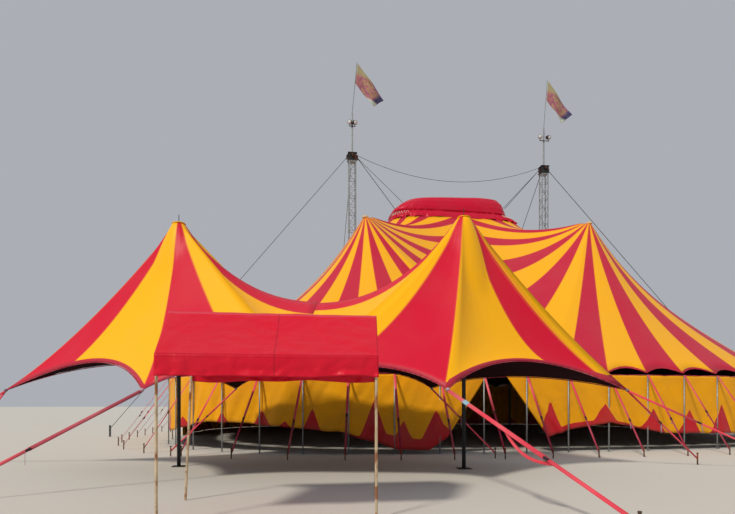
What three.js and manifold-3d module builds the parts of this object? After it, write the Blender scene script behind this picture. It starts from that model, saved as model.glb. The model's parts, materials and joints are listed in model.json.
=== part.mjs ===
// Circus big top: a four-peaked striped canopy hung round a cupola between two lattice masts,
// with its side walls, eave poles, straps and guys, a two-peaked entrance tent in front of it
// and a small gabled awning before that. Millimetres, +Z up, -Y is the entrance side.
import * as THREE from "three";
import { mergeVertices } from "three/addons/utils/BufferGeometryUtils.js";
import Module from "manifold-3d";

const wasm = await Module();
wasm.setup();

const SEAT_GAP = 0.3;
const SEAM_GAP = 0.2;

// Big top canopy
const HEM_HALF_LENGTH = 12400;
const HEM_HALF_DEPTH = 9800;
const HEM_ROUNDNESS = 3.2;
const HEM_HEIGHT = 2450;
const PEAK = new THREE.Vector2(4750, 4100);
const PEAK_HEIGHT = { left: 8910, right: 9130 };
const PEAK_RING_RADIUS = 150;
const FABRIC_THICKNESS = 40;
const STATIONS_PER_QUARTER = 14;
const HEM_FALL = { front: 0.86, side: 0.58 };
const HOLLOW = { hem: 1.97, rim: 2.24, side: 4.41 };
const SIDE_VALLEY_FALL = 0.3;
const RADIAL_BANDS = 5;

// Cupola on top of the canopy
const CUPOLA_HALF_LENGTH = 3000;
const CUPOLA_HALF_DEPTH = 1500;
const CUPOLA_SQUARENESS = 4;
const CUPOLA_RIM_HEIGHT = 9850;
const CUPOLA_RIM_SLOPE = 0.9;
const CUPOLA_CREASE_HEIGHT = 10450;
const CUPOLA_CREASE_INSET = 220;
const CUPOLA_TOP_HEIGHT = 11000;
const CUPOLA_TOP_HALF_LENGTH = 2180;
const CUPOLA_TOP_HALF_DEPTH = 1050;
const CUPOLA_SKIN = 40;
const CUPOLA_BEAM = 100;

// Masts, flagpoles and flags
const MAST_X = 4750;
const MAST_WIDTH = 350;
const MAST_HOLE = 330;
const MAST_CHORD = 44;
const MAST_RUNG = 26;
const RUNG_SPACING = 1000;
const LATTICE_TOP = 12700;
const BASE_PLATE = 1000;
const BASE_THICKNESS = 40;
const HEAD_WIDTH = 420;
const HEAD_HEIGHT = 350;
const LAMP_TUBE_RADIUS = 40;
const LAMP_TUBE_TOP = 15000;
const LAMP_BAR_HEIGHT = 14320;
const LAMP_BAR_LENGTH = 460;
const FLAGPOLE_RADIUS = 18;
const FLAGPOLE_TOP = 17370;
const FLAGPOLE_LEAN = { left: 230, right: 190 };
const FLAG_HOIST = 950;
const FLAG_TOP_EDGE = new THREE.Vector2(1250, -1570);
const FLAG_LOW_EDGE = new THREE.Vector2(850, -1020);
const FLAG_THICKNESS = 10;

// Cables and stakes
const CABLE_RADIUS = 10;
const LINE_SAG = 950;
const SIDE_GUY_REACH = { left: 15400, right: 17300 };
const GUY_STAKE_HEIGHT = 500;

// Side walls and eave rigging
const ROPE_RADIUS = 20;
const ROPE_END_GAP = 2;
const SIDE_POLE_RADIUS = 25;
const SIDE_POLE_OFFSET = 38;
const STRAP_WIDTH = 50;
const STRAP_THICKNESS = 8;
const STRAP_REACH = 1700;
const STAKE_RADIUS = 20;
const STAKE_HEIGHT = 300;
const WALL_THICKNESS = 20;
const WALL_FOOT = 350;
const DOOR_TOP = [-1900, -1350];
const DOOR_FOOT = [-3150, 0];

// Entrance tent
const FOYER_CENTRE = new THREE.Vector3(-7150, -12560, 0);
const FOYER_TURN = THREE.MathUtils.degToRad(-12.6);
const FOYER_PEAK_X = 3400;
const FOYER_PEAK_HEIGHT = 5840;
const FOYER_APEX = { left: 5910, right: 6000 };
const FOYER_TIP_HEIGHT = 6060;
const FOYER_RING_RADIUS = 160;
const FOYER_SADDLE_HEIGHT = 3920;
const FOYER_CORNER_HEIGHT = { front: 1810, side: 1850, back: 1950 };
const FOYER_CORNER = { left: new THREE.Vector2(2900, 2930), right: new THREE.Vector2(2800, 2930) };
const FOYER_SIDE_CORNER = { left: new THREE.Vector2(-7500, -350), right: new THREE.Vector2(7200, 250) };
const FOYER_END_ARCH = { rise: 630, inset: 600, power: 2 };
const FOYER_FRONT_ARCH = { rise: 480, inset: 350, power: 4 };
const FOYER_HOLLOW = { left: 2.21, right: 2.24 };
const FOYER_TIP_HOLLOW = { left: -0.5, right: -0.34 };
const FOYER_CORNER_FALL = { left: 0.6, right: 0.86 };
const FOYER_ARCH_FALL = { left: 0.87, right: 0.5 };
const FOYER_VALLEY_FALL = { left: 1.32, right: 0.95 };
const FOYER_THICKNESS = 30;
const FOYER_ARCH_STEPS = 8;
const FOYER_ROPE_RADIUS = 12;

// Awning in front of the entrance tent
const AWNING_ENDS = { front: [-9615, -6770], ridge: [-9610, -6635], back: [-9455, -6470] };
const AWNING_Y = [-18360, -16550];
const AWNING_EAVE = 2170;
const AWNING_RIDGE = 2860;
const AWNING_VALANCE = 265;
const AWNING_SKIN = 15;
const AWNING_POLE_RADIUS = 20;

const UP = new THREE.Vector3(0, 0, 1);

const finishes = {
  red: { color: 0xc8223c, roughness: 0.45, metalness: 0 },
  yellow: { color: 0xf6b51a, roughness: 0.5, metalness: 0 },
  strap: { color: 0xe0505c, roughness: 0.7, metalness: 0 },
  steel: { color: 0x9aa0a3, roughness: 0.45, metalness: 0.8 },
  dark: { color: 0x2d3033, roughness: 0.5, metalness: 0.5 },
  cable: { color: 0x6f7478, roughness: 0.5, metalness: 0.7 },
  pole: { color: 0xb9a98c, roughness: 0.6, metalness: 0.3 },
  flag: { color: 0x9c8a52, roughness: 0.8, metalness: 0 },
};

const tent = new THREE.Group();

function addPiece(name, geometry, finish) {
  const piece = new THREE.Mesh(geometry, new THREE.MeshStandardMaterial(finishes[finish]));
  piece.name = name;
  tent.add(piece);
}

function vector(x, y, z) {
  return new THREE.Vector3(x, y, z);
}

// Solids and joins

function solidFrom(geometry) {
  const bare = geometry.clone();
  bare.deleteAttribute("normal");
  bare.deleteAttribute("uv");
  const merged = mergeVertices(bare, 0.001);
  return new wasm.Manifold(new wasm.Mesh({
    numProp: 3,
    vertProperties: new Float32Array(merged.attributes.position.array),
    triVerts: new Uint32Array(merged.index.array),
  }));
}

function geometryFrom(solid) {
  const mesh = solid.getMesh();
  const geometry = new THREE.BufferGeometry();
  geometry.setAttribute("position", new THREE.BufferAttribute(mesh.vertProperties, 3));
  geometry.setIndex(new THREE.BufferAttribute(mesh.triVerts, 1));
  geometry.computeVertexNormals();
  return geometry;
}

function joined(geometries) {
  return geometryFrom(wasm.Manifold.union(geometries.map(solidFrom)));
}

// Stands a shape that was built along +Y between two points, with its X side kept level.
function stretched(geometry, from, to) {
  const along = vector().subVectors(to, from).normalize();
  const level = vector().crossVectors(along, UP);
  if (level.lengthSq() < 1e-9) level.set(1, 0, 0);
  level.normalize();
  const across = vector().crossVectors(level, along);
  const middle = vector().addVectors(from, to).multiplyScalar(0.5);
  geometry.applyMatrix4(new THREE.Matrix4().makeBasis(level, along, across).setPosition(middle));
  return geometry;
}

function bar(from, to, radius, sides = 6) {
  return stretched(new THREE.CylinderGeometry(radius, radius, from.distanceTo(to), sides), from, to);
}

function strip(from, to, width, thickness) {
  return stretched(new THREE.BoxGeometry(width, from.distanceTo(to), thickness), from, to);
}

function block(x, y, z, width, depth, height) {
  return new THREE.BoxGeometry(width, depth, height).translate(x, y, z + height / 2);
}

// Turns indices over where a closed surface came out inside out.
function facingOut(points, triangles) {
  let volume = 0;
  for (let i = 0; i < triangles.length; i += 3) {
    const [a, b, c] = [points[triangles[i]], points[triangles[i + 1]], points[triangles[i + 2]]];
    volume += a.dot(vector().crossVectors(b, c));
  }
  if (volume < 0) triangles.reverse();
  const geometry = new THREE.BufferGeometry().setFromPoints(points);
  geometry.setIndex(triangles);
  geometry.computeVertexNormals();
  return geometry;
}

// A closed sheet between two matching grids of points: outer[i][j] and inner[i][j].
function sheet(outer, inner) {
  const rows = outer.length;
  const columns = outer[0].length;
  const points = [...outer.flat(), ...inner.flat()];
  const top = (i, j) => i * columns + j;
  const low = (i, j) => rows * columns + i * columns + j;
  const triangles = [];
  const quad = (a, b, c, d) => triangles.push(a, b, c, a, c, d);
  for (let i = 0; i + 1 < rows; i++) {
    for (let j = 0; j + 1 < columns; j++) {
      quad(top(i, j), top(i + 1, j), top(i + 1, j + 1), top(i, j + 1));
      quad(low(i, j + 1), low(i + 1, j + 1), low(i + 1, j), low(i, j));
    }
    quad(top(i + 1, 0), top(i, 0), low(i, 0), low(i + 1, 0));
    quad(top(i, columns - 1), top(i + 1, columns - 1), low(i + 1, columns - 1), low(i, columns - 1));
  }
  for (let j = 0; j + 1 < columns; j++) {
    quad(top(0, j), top(0, j + 1), low(0, j + 1), low(0, j));
    quad(top(rows - 1, j + 1), top(rows - 1, j), low(rows - 1, j), low(rows - 1, j + 1));
  }
  return facingOut(points, triangles);
}

// A closed body skinned over closed rings of points, with the first and last ring capped flat.
function ringed(rings) {
  const count = rings[0].length;
  const points = rings.flat();
  const triangles = [];
  for (let r = 0; r + 1 < rings.length; r++) {
    for (let i = 0; i < count; i++) {
      const next = (i + 1) % count;
      const [a, b] = [r * count + i, r * count + next];
      triangles.push(a, b, b + count, a, b + count, a + count);
    }
  }
  const middle = (ring) => ring.reduce((sum, p) => sum.add(p), vector(0, 0, 0)).divideScalar(count);
  const last = (rings.length - 1) * count;
  const [startCap, endCap] = [points.length, points.length + 1];
  points.push(middle(rings[0]), middle(rings[rings.length - 1]));
  for (let i = 0; i < count; i++) {
    const next = (i + 1) % count;
    triangles.push(startCap, next, i, endCap, last + i, last + next);
  }
  return facingOut(points, triangles);
}

// Big top canopy: each quarter is a fan of straight radii from its peak to its border

// A square rope through a line of points, mitred at each of them.
function rope(points, radius) {
  return ringed(points.map((point, i) => {
    const before = points[Math.max(0, i - 1)];
    const after = points[Math.min(points.length - 1, i + 1)];
    const along = vector().subVectors(after, before).normalize();
    const level = vector().crossVectors(along, UP).normalize();
    const across = vector().crossVectors(level, along);
    return [[-1, -1], [1, -1], [1, 1], [-1, 1]].map(([side, rise]) => (
      point.clone().addScaledVector(level, side * radius).addScaledVector(across, rise * radius)
    ));
  }));
}

function powered(value, power) {
  return Math.sign(value) * Math.abs(value) ** power;
}

function superellipse(halfLength, halfDepth, exponent, angle) {
  return new THREE.Vector2(
    halfLength * powered(Math.cos(angle), 2 / exponent),
    halfDepth * powered(Math.sin(angle), 2 / exponent),
  );
}

function insideSuperellipse(x, y, halfLength, halfDepth, exponent) {
  return (Math.abs(x) / halfLength) ** exponent + (Math.abs(y) / halfDepth) ** exponent;
}

// The hem of one quarter from the front middle (0, depth) to the side middle (length, 0),
// as the arc length at each of many fine steps.
const HEM_STEPS = 2000;
const hemCurve = [];
for (let i = 0; i <= HEM_STEPS; i++) {
  const angle = (Math.PI / 2) * (1 - i / HEM_STEPS);
  const point = superellipse(HEM_HALF_LENGTH, HEM_HALF_DEPTH, HEM_ROUNDNESS, angle);
  const before = hemCurve[i - 1];
  const arc = before ? before.arc + point.distanceTo(before.point) : 0;
  hemCurve.push({ point, arc });
}
const QUARTER_HEM = hemCurve[HEM_STEPS].arc;

// Plan point of the hem at an arc length from the front middle, negative to the left.
function hemAt(arc) {
  const reach = Math.min(Math.abs(arc), QUARTER_HEM);
  const above = Math.max(1, hemCurve.findIndex((step) => step.arc >= reach));
  const [a, b] = [hemCurve[above - 1], hemCurve[above]];
  const point = a.point.clone().lerp(b.point, (reach - a.arc) / (b.arc - a.arc));
  return new THREE.Vector2(Math.sign(arc || 1) * point.x, point.y);
}

const stationArcs = [];
for (let k = 0; k < STATIONS_PER_QUARTER; k++) {
  stationArcs.push(((k + 0.5) * QUARTER_HEM) / STATIONS_PER_QUARTER);
}

const FALL = CUPOLA_RIM_HEIGHT - HEM_HEIGHT;

// All four valleys are slightly hollow between the cupola and the hem.
function frontValley(y) {
  const run = HEM_HALF_DEPTH - CUPOLA_HALF_DEPTH;
  const share = (y - CUPOLA_HALF_DEPTH) / run;
  const height = HEM_HEIGHT + FALL * (1 - 1.1 * share + 0.1 * share ** 2);
  return { height, fall: (FALL * (1.1 - 0.2 * share)) / run };
}

function sideValley(x) {
  const run = HEM_HALF_LENGTH - CUPOLA_HALF_LENGTH;
  const left = Math.max(0, 1 - (x - CUPOLA_HALF_LENGTH) / run);
  const straight = SIDE_VALLEY_FALL * run;
  const height = HEM_HEIGHT + straight * left + (FALL - straight) * left ** 1.5;
  return { height, fall: (straight + 1.5 * (FALL - straight) * left ** 0.5) / run };
}

function hemValue(x, y) {
  return insideSuperellipse(x, y, HEM_HALF_LENGTH, HEM_HALF_DEPTH, HEM_ROUNDNESS);
}

function cupolaValue(x, y) {
  return insideSuperellipse(x, y, CUPOLA_HALF_LENGTH, CUPOLA_HALF_DEPTH, CUPOLA_SQUARENESS);
}

function mastDistance(x, y) {
  return Math.max(Math.abs(x - MAST_X), Math.abs(y));
}

function onCanopy(x, y) {
  const inQuarter = x > 0 && y > 0;
  return inQuarter && hemValue(x, y) < 1 && cupolaValue(x, y) > 1 && mastDistance(x, y) > MAST_HOLE;
}

// How far a radius from the peak runs over the canopy, found by halving steps.
function reachOf(direction) {
  const along = (length) => [PEAK.x + direction.x * length, PEAK.y + direction.y * length];
  let outside = 0;
  while (onCanopy(...along(outside))) outside += 50;
  let inside = outside - 50;
  for (let i = 0; i < 30; i++) {
    const middle = (inside + outside) / 2;
    if (onCanopy(...along(middle))) inside = middle;
    else outside = middle;
  }
  return inside;
}

function outwardNormal(x, y, halfLength, halfDepth, exponent) {
  return new THREE.Vector2(
    powered(x / halfLength, exponent - 1) / halfLength,
    powered(y / halfDepth, exponent - 1) / halfDepth,
  ).normalize();
}

// Height at the end of a radius, and the slope that the fabric has there along the radius.
function borderOf(x, y, direction) {
  if (hemValue(x, y) > 0.99999) {
    const normal = outwardNormal(x, y, HEM_HALF_LENGTH, HEM_HALF_DEPTH, HEM_ROUNDNESS);
    const middleFall = frontValley(HEM_HALF_DEPTH).fall;
    const edgeFall = HEM_FALL.side + (HEM_FALL.front - HEM_FALL.side) * normal.y ** 2;
    const fall = edgeFall + (middleFall - edgeFall) * Math.exp(-((x / 2500) ** 2));
    return { height: HEM_HEIGHT, slope: -fall * normal.dot(direction) };
  }
  if (cupolaValue(x, y) < 1.0001) {
    const normal = outwardNormal(x, y, CUPOLA_HALF_LENGTH, CUPOLA_HALF_DEPTH, CUPOLA_SQUARENESS);
    return { height: CUPOLA_RIM_HEIGHT, slope: -CUPOLA_RIM_SLOPE * normal.dot(direction) };
  }
  if (y < 1 || mastDistance(x, y) < MAST_HOLE + 1) {
    const { height, fall } = sideValley(x);
    return { height, slope: -fall * direction.x };
  }
  const { height, fall } = frontValley(y);
  return { height, slope: -fall * direction.y };
}

// Height of a membrane between a peak and its border: a straight run with the border's slope,
// and on it a hollow curve that climbs to the peak.
function membraneHeight(distance, length, peakHeight, border, power) {
  const run = border.height - border.slope * (length - distance);
  const rise = peakHeight - (border.height - border.slope * length);
  return run + rise * (1 - distance / length) ** power;
}

function bandShare(step) {
  return (step / RADIAL_BANDS) ** 1.5;
}

// How hollow a radius is: more towards the side of the tent, and a little at the cupola's rim.
function hollowOf(border, direction) {
  const nearRim = THREE.MathUtils.smoothstep(border.height, 6500, CUPOLA_RIM_HEIGHT);
  const middle = THREE.MathUtils.lerp(HOLLOW.hem, HOLLOW.rim, nearRim);
  return middle + (HOLLOW.side - HOLLOW.hem) * Math.max(0, direction.x);
}

function canopyRadius(direction, peakHeight) {
  const length = reachOf(direction);
  const border = borderOf(PEAK.x + direction.x * length, PEAK.y + direction.y * length, direction);
  const power = hollowOf(border, direction);
  const points = [];
  for (let step = 0; step <= RADIAL_BANDS; step++) {
    const distance = PEAK_RING_RADIUS + (length - PEAK_RING_RADIUS) * bandShare(step);
    const height = membraneHeight(distance, length, peakHeight, border, power);
    points.push(vector(PEAK.x + direction.x * distance, PEAK.y + direction.y * distance, height));
  }
  return points;
}

function towards(x, y) {
  return new THREE.Vector2(x - PEAK.x, y - PEAK.y).normalize();
}

// Turn of a direction round the peak, from the front (+Y of the quarter) towards the middle.
function turnOf(direction) {
  const turn = Math.atan2(-direction.x, direction.y);
  return turn < -Math.PI * 0.75 ? turn + 2 * Math.PI : turn;
}

function directionAt(turn) {
  return new THREE.Vector2(-Math.sin(turn), Math.cos(turn));
}

const frontCorner = towards(0, HEM_HALF_DEPTH);
const sideCorner = towards(HEM_HALF_LENGTH, 0);

// Radii to every hem station, from the front middle round to the side middle.
const outerDirections = [
  frontCorner,
  ...stationArcs.map((arc) => towards(hemAt(arc).x, hemAt(arc).y)),
  sideCorner,
];

// Radii over the inner half: both valleys, the rim of the cupola and the edge of the mast hole.
const innerTurns = [];
const firstSeam = turnOf(outerDirections[1]);
const cupolaSeam = THREE.MathUtils.degToRad(126);
const lastSeam = turnOf(outerDirections[STATIONS_PER_QUARTER]) + 2 * Math.PI;
for (let k = 1; k <= 14; k++) innerTurns.push(firstSeam + ((cupolaSeam - firstSeam) * k) / 14);
for (let k = 1; k <= 15; k++) innerTurns.push(cupolaSeam + ((lastSeam - cupolaSeam) * k) / 16);
const frontTurn = turnOf(frontCorner);
const sideTurn = turnOf(sideCorner) + 2 * Math.PI;
const cornerTurns = [towards(0, CUPOLA_HALF_DEPTH), towards(CUPOLA_HALF_LENGTH, 0)].map((d) => {
  const turn = turnOf(d);
  return turn < 0 ? turn + 2 * Math.PI : turn;
});
const mastTurns = [-5.05, -4.9, 4.9, 5.05].map((degrees) => THREE.MathUtils.degToRad(180 + degrees));
const seamTurns = innerTurns.filter((turn) => Math.abs(turn - Math.PI) > 0.1);
const innerDirections = [frontTurn, ...seamTurns, ...cornerTurns, ...mastTurns, sideTurn]
  .filter((turn) => turn >= frontTurn && turn <= sideTurn)
  .sort((a, b) => a - b)
  .map(directionAt);

// Moves the fabric off its seams and off the two middle planes by a hair.
function relieved(radii) {
  const first = radii[0];
  const last = radii[radii.length - 1];
  const shift = (radius, neighbour) => {
    const run = vector().subVectors(radius[radius.length - 1], radius[0]).setZ(0).normalize();
    const side = vector(-run.y, run.x, 0);
    const inward = vector().subVectors(neighbour[neighbour.length - 1], radius[radius.length - 1]);
    if (side.dot(inward) < 0) side.negate();
    radius.forEach((point) => point.addScaledVector(side, SEAM_GAP));
  };
  shift(first, radii[1]);
  shift(last, radii[radii.length - 2]);
  radii.flat().forEach((point) => {
    point.x = Math.max(point.x, SEAM_GAP);
    point.y = Math.max(point.y, SEAM_GAP);
  });
  return radii;
}

const quarters = [
  { name: "front_left", x: -1, y: -1, peakHeight: PEAK_HEIGHT.left },
  { name: "front_right", x: 1, y: -1, peakHeight: PEAK_HEIGHT.right },
  { name: "back_left", x: -1, y: 1, peakHeight: PEAK_HEIGHT.left },
  { name: "back_right", x: 1, y: 1, peakHeight: PEAK_HEIGHT.right },
];

function inQuarter(quarter, point) {
  return vector(point.x * quarter.x, point.y * quarter.y, point.z);
}

function canopyPanel(quarter, directions) {
  const outer = relieved(directions.map((direction) => canopyRadius(direction, quarter.peakHeight)))
    .map((radius) => radius.map((point) => inQuarter(quarter, point)));
  const inner = outer.map((radius) => radius.map((p) => vector(p.x, p.y, p.z - FABRIC_THICKNESS)));
  return sheet(outer, inner);
}

// Pole under each peak, with a crown that plugs the ring of the canopy
function crownedPole(x, y, directions, ringRadius, crownLow, crownTop, poleRadius) {
  const outline = directions.map((d) => new THREE.Vector2(x + d.x * ringRadius, y + d.y * ringRadius));
  const level = (height) => outline.map((p) => vector(p.x, p.y, height));
  const crown = ringed([level(crownLow), level(crownTop)]);
  const foot = block(x, y, 0, 400, 400, 20);
  return [crown, foot, bar(vector(x, y, 10), vector(x, y, crownLow + 20), poleRadius, 8)];
}

function peakPole(quarter) {
  const directions = [...outerDirections, ...innerDirections]
    .map((d) => ({ turn: Math.atan2(d.y * quarter.y, d.x * quarter.x), d }))
    .sort((a, b) => a.turn - b.turn)
    .filter((entry, i, all) => i === 0 || entry.turn - all[i - 1].turn > 0.01)
    .map((entry) => new THREE.Vector2(Math.cos(entry.turn), Math.sin(entry.turn)));
  return joined(crownedPole(
    PEAK.x * quarter.x, PEAK.y * quarter.y, directions,
    PEAK_RING_RADIUS - SEAT_GAP, quarter.peakHeight - 320, quarter.peakHeight + 20, 60,
  ));
}

// Cupola: a beam ring under the canopy's inner edge and a cover that stands on it

// Plan of one quarter of the canopy's inner edge, from the front middle to the side middle.
const rimCorners = innerDirections
  .map((d) => new THREE.Vector2(d.x, d.y).multiplyScalar(reachOf(d)).add(PEAK))
  .filter((p) => cupolaValue(p.x, p.y) < 1.0001 && p.x > 50 && p.y > 50);
const quarterRim = [new THREE.Vector2(0, CUPOLA_HALF_DEPTH), ...rimCorners];
const sideRim = [new THREE.Vector2(CUPOLA_HALF_LENGTH, 0), ...[...rimCorners].reverse()];
const fullRim = [
  ...quarterRim.map((p) => [p.x, p.y]),
  ...sideRim.map((p) => [p.x, -p.y]),
  ...quarterRim.map((p) => [-p.x, -p.y]),
  ...sideRim.map((p) => [-p.x, p.y]),
];

function cupolaRing(halfLength, halfDepth, height) {
  const widening = halfLength / CUPOLA_HALF_LENGTH;
  const deepening = halfDepth / CUPOLA_HALF_DEPTH;
  return fullRim.map(([x, y]) => vector(x * widening, y * deepening, height));
}

// The cover's outline, grown or shrunk by a margin all round.
function cupolaBody(margin) {
  const ring = (halfLength, halfDepth, height) => (
    cupolaRing(halfLength + margin, halfDepth + margin, height)
  );
  const foot = CUPOLA_RIM_HEIGHT - FABRIC_THICKNESS;
  return solidFrom(ringed([
    ring(CUPOLA_HALF_LENGTH - 8, CUPOLA_HALF_DEPTH - 8, foot - Math.max(0, -margin)),
    ring(CUPOLA_HALF_LENGTH - CUPOLA_CREASE_INSET, CUPOLA_HALF_DEPTH - CUPOLA_CREASE_INSET,
      CUPOLA_CREASE_HEIGHT),
    ring(CUPOLA_TOP_HALF_LENGTH, CUPOLA_TOP_HALF_DEPTH, CUPOLA_TOP_HEIGHT + margin),
  ]));
}

function cupolaCover() {
  return geometryFrom(cupolaBody(0).subtract(cupolaBody(-CUPOLA_SKIN)));
}

function cupolaBeam() {
  const top = CUPOLA_RIM_HEIGHT - FABRIC_THICKNESS - SEAT_GAP;
  const low = top - CUPOLA_BEAM;
  const outer = solidFrom(ringed([
    cupolaRing(CUPOLA_HALF_LENGTH - 0.6, CUPOLA_HALF_DEPTH - 0.6, low),
    cupolaRing(CUPOLA_HALF_LENGTH - 0.6, CUPOLA_HALF_DEPTH - 0.6, top),
  ]));
  const hole = solidFrom(ringed([
    cupolaRing(CUPOLA_HALF_LENGTH - CUPOLA_BEAM, CUPOLA_HALF_DEPTH - CUPOLA_BEAM, low - 10),
    cupolaRing(CUPOLA_HALF_LENGTH - CUPOLA_BEAM, CUPOLA_HALF_DEPTH - CUPOLA_BEAM, top + 10),
  ]));
  return geometryFrom(outer.subtract(hole));
}

// Masts: four chords and level rungs on a base plate, and a head block above them

function mast(x) {
  const reach = (MAST_WIDTH - MAST_CHORD) / 2;
  const pieces = [block(x, 0, 0, BASE_PLATE, BASE_PLATE, BASE_THICKNESS)];
  for (const side of [-1, 1]) {
    for (const face of [-1, 1]) {
      const height = LATTICE_TOP - BASE_THICKNESS / 2;
      pieces.push(block(x + side * reach, face * reach, BASE_THICKNESS / 2, MAST_CHORD, MAST_CHORD, height));
    }
  }
  for (let z = RUNG_SPACING; z < LATTICE_TOP; z += RUNG_SPACING) {
    for (const side of [-1, 1]) {
      pieces.push(block(x, side * reach, z, 2 * reach, MAST_RUNG, MAST_RUNG));
      pieces.push(block(x + side * reach, 0, z, MAST_RUNG, 2 * reach, MAST_RUNG));
    }
  }
  pieces.push(block(x, 0, LATTICE_TOP - 20, MAST_WIDTH, MAST_WIDTH, 20 + BASE_THICKNESS / 2));
  return joined(pieces);
}

const headLow = LATTICE_TOP + BASE_THICKNESS / 2 + SEAT_GAP;
const headTop = headLow + HEAD_HEIGHT;

function mastHead(x) {
  return block(x, 0, headLow, HEAD_WIDTH, HEAD_WIDTH, HEAD_HEIGHT);
}

function flagpole(x, lean) {
  return joined([
    block(x, 0, headTop + SEAT_GAP, 200, 200, 20),
    bar(vector(x, 0, headTop + 10), vector(x, 0, LAMP_TUBE_TOP), LAMP_TUBE_RADIUS, 8),
    bar(vector(x, 0, LAMP_TUBE_TOP - 30), vector(x + lean, 0, FLAGPOLE_TOP), FLAGPOLE_RADIUS),
  ]);
}

function lampBar(x) {
  const y = -LAMP_TUBE_RADIUS - 15 - SEAT_GAP;
  const pieces = [block(x, y, LAMP_BAR_HEIGHT, LAMP_BAR_LENGTH, 30, 30)];
  for (const side of [-1, 1]) {
    const lampX = x + side * (LAMP_BAR_LENGTH / 2 - 20);
    pieces.push(block(lampX, y - 20, LAMP_BAR_HEIGHT + 20, 40, 40, 90));
    const housing = new THREE.BoxGeometry(200, 130, 170).rotateX(-0.4);
    pieces.push(housing.translate(lampX, y - 30, LAMP_BAR_HEIGHT + 180));
  }
  return joined(pieces);
}

// Flag: hangs from the top of its pole, blown to the right and drooping at the fly.
function flag(x, lean) {
  const top = vector(x + lean, 0, FLAGPOLE_TOP);
  const down = vector().subVectors(vector(x, 0, LAMP_TUBE_TOP - 30), top).normalize();
  const hoistTop = top.clone().addScaledVector(down, 60).add(vector(FLAGPOLE_RADIUS + SEAT_GAP, 0, 0));
  const hoistFoot = hoistTop.clone().addScaledVector(down, FLAG_HOIST);
  const corners = [
    hoistTop,
    hoistTop.clone().add(vector(FLAG_TOP_EDGE.x, 0, FLAG_TOP_EDGE.y)),
    hoistFoot.clone().add(vector(FLAG_LOW_EDGE.x, 0, FLAG_LOW_EDGE.y)),
    hoistFoot,
  ];
  const front = corners.map((p) => vector(p.x, -FLAG_THICKNESS / 2, p.z));
  const back = corners.map((p) => vector(p.x, FLAG_THICKNESS / 2, p.z));
  return ringed([front, back]);
}

// Cables: each starts at a shackle on a mast head

function shackled(from, to, face) {
  const plate = block(face.x, face.y, face.z - 110, 60, 60, 170);
  return [plate, strip(from, to, 2 * CABLE_RADIUS, 2 * CABLE_RADIUS)];
}

function guy(x, y, stakeX, stakeY) {
  const start = vector(x, y, headLow + HEAD_HEIGHT / 2);
  const end = vector(stakeX, stakeY, GUY_STAKE_HEIGHT - 150);
  const stake = block(stakeX, stakeY, 0, 70, 70, GUY_STAKE_HEIGHT);
  return joined([...shackled(start, end, start), stake]);
}

// Stay from a mast head to the crown of the peak behind it
function backStay(side) {
  const start = vector(side.x * MAST_X, HEAD_WIDTH / 2 + 30 + SEAT_GAP, headLow + HEAD_HEIGHT / 2);
  const peak = vector(side.x * PEAK.x, PEAK.y, PEAK_HEIGHT[side.name] + 20 + SEAT_GAP);
  const end = vector(peak.x, peak.y, peak.z + 40);
  return joined([...shackled(start, end, start), block(peak.x, peak.y, peak.z, 90, 90, 80)]);
}

function cupolaCables(side) {
  const x = side * (MAST_X - HEAD_WIDTH / 2 - 30 - SEAT_GAP);
  const start = vector(x, 0, headLow + HEAD_HEIGHT / 2);
  const ends = [-1, 1].map((face) => vector(side * 2080, face * 770, 10260));
  const cables = solidFrom(joined(ends.flatMap((end) => shackled(start, end, start))));
  return geometryFrom(cables.subtract(cupolaBody(SEAT_GAP)));
}

function mastLine() {
  const x = MAST_X - HEAD_WIDTH / 2 - 4.1;
  const points = [];
  const height = headLow + HEAD_HEIGHT - 60;
  for (let i = 0; i <= 12; i++) {
    const share = i / 6 - 1;
    points.push(vector(share * x, 0, height - LINE_SAG * (1 - share * share)));
  }
  const section = new THREE.Shape().absellipse(0, 0, CABLE_RADIUS, CABLE_RADIUS, 0, 2 * Math.PI);
  const tube = new THREE.ExtrudeGeometry(section, {
    steps: 14,
    curveSegments: 3,
    bevelEnabled: false,
    extrudePath: new THREE.CatmullRomCurve3(points),
  });
  return geometryFrom(solidFrom(tube));
}

// Eave: a rope under the hem, with a pole, a strap and a stake at every station

const ropeHeight = HEM_HEIGHT - FABRIC_THICKNESS - ROPE_RADIUS - SEAT_GAP;
const wallTop = ropeHeight - ROPE_RADIUS - SEAT_GAP;

function hemNormal(arc) {
  const point = hemAt(Math.abs(arc));
  return outwardNormal(point.x, point.y, HEM_HALF_LENGTH, HEM_HALF_DEPTH, HEM_ROUNDNESS);
}

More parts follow.
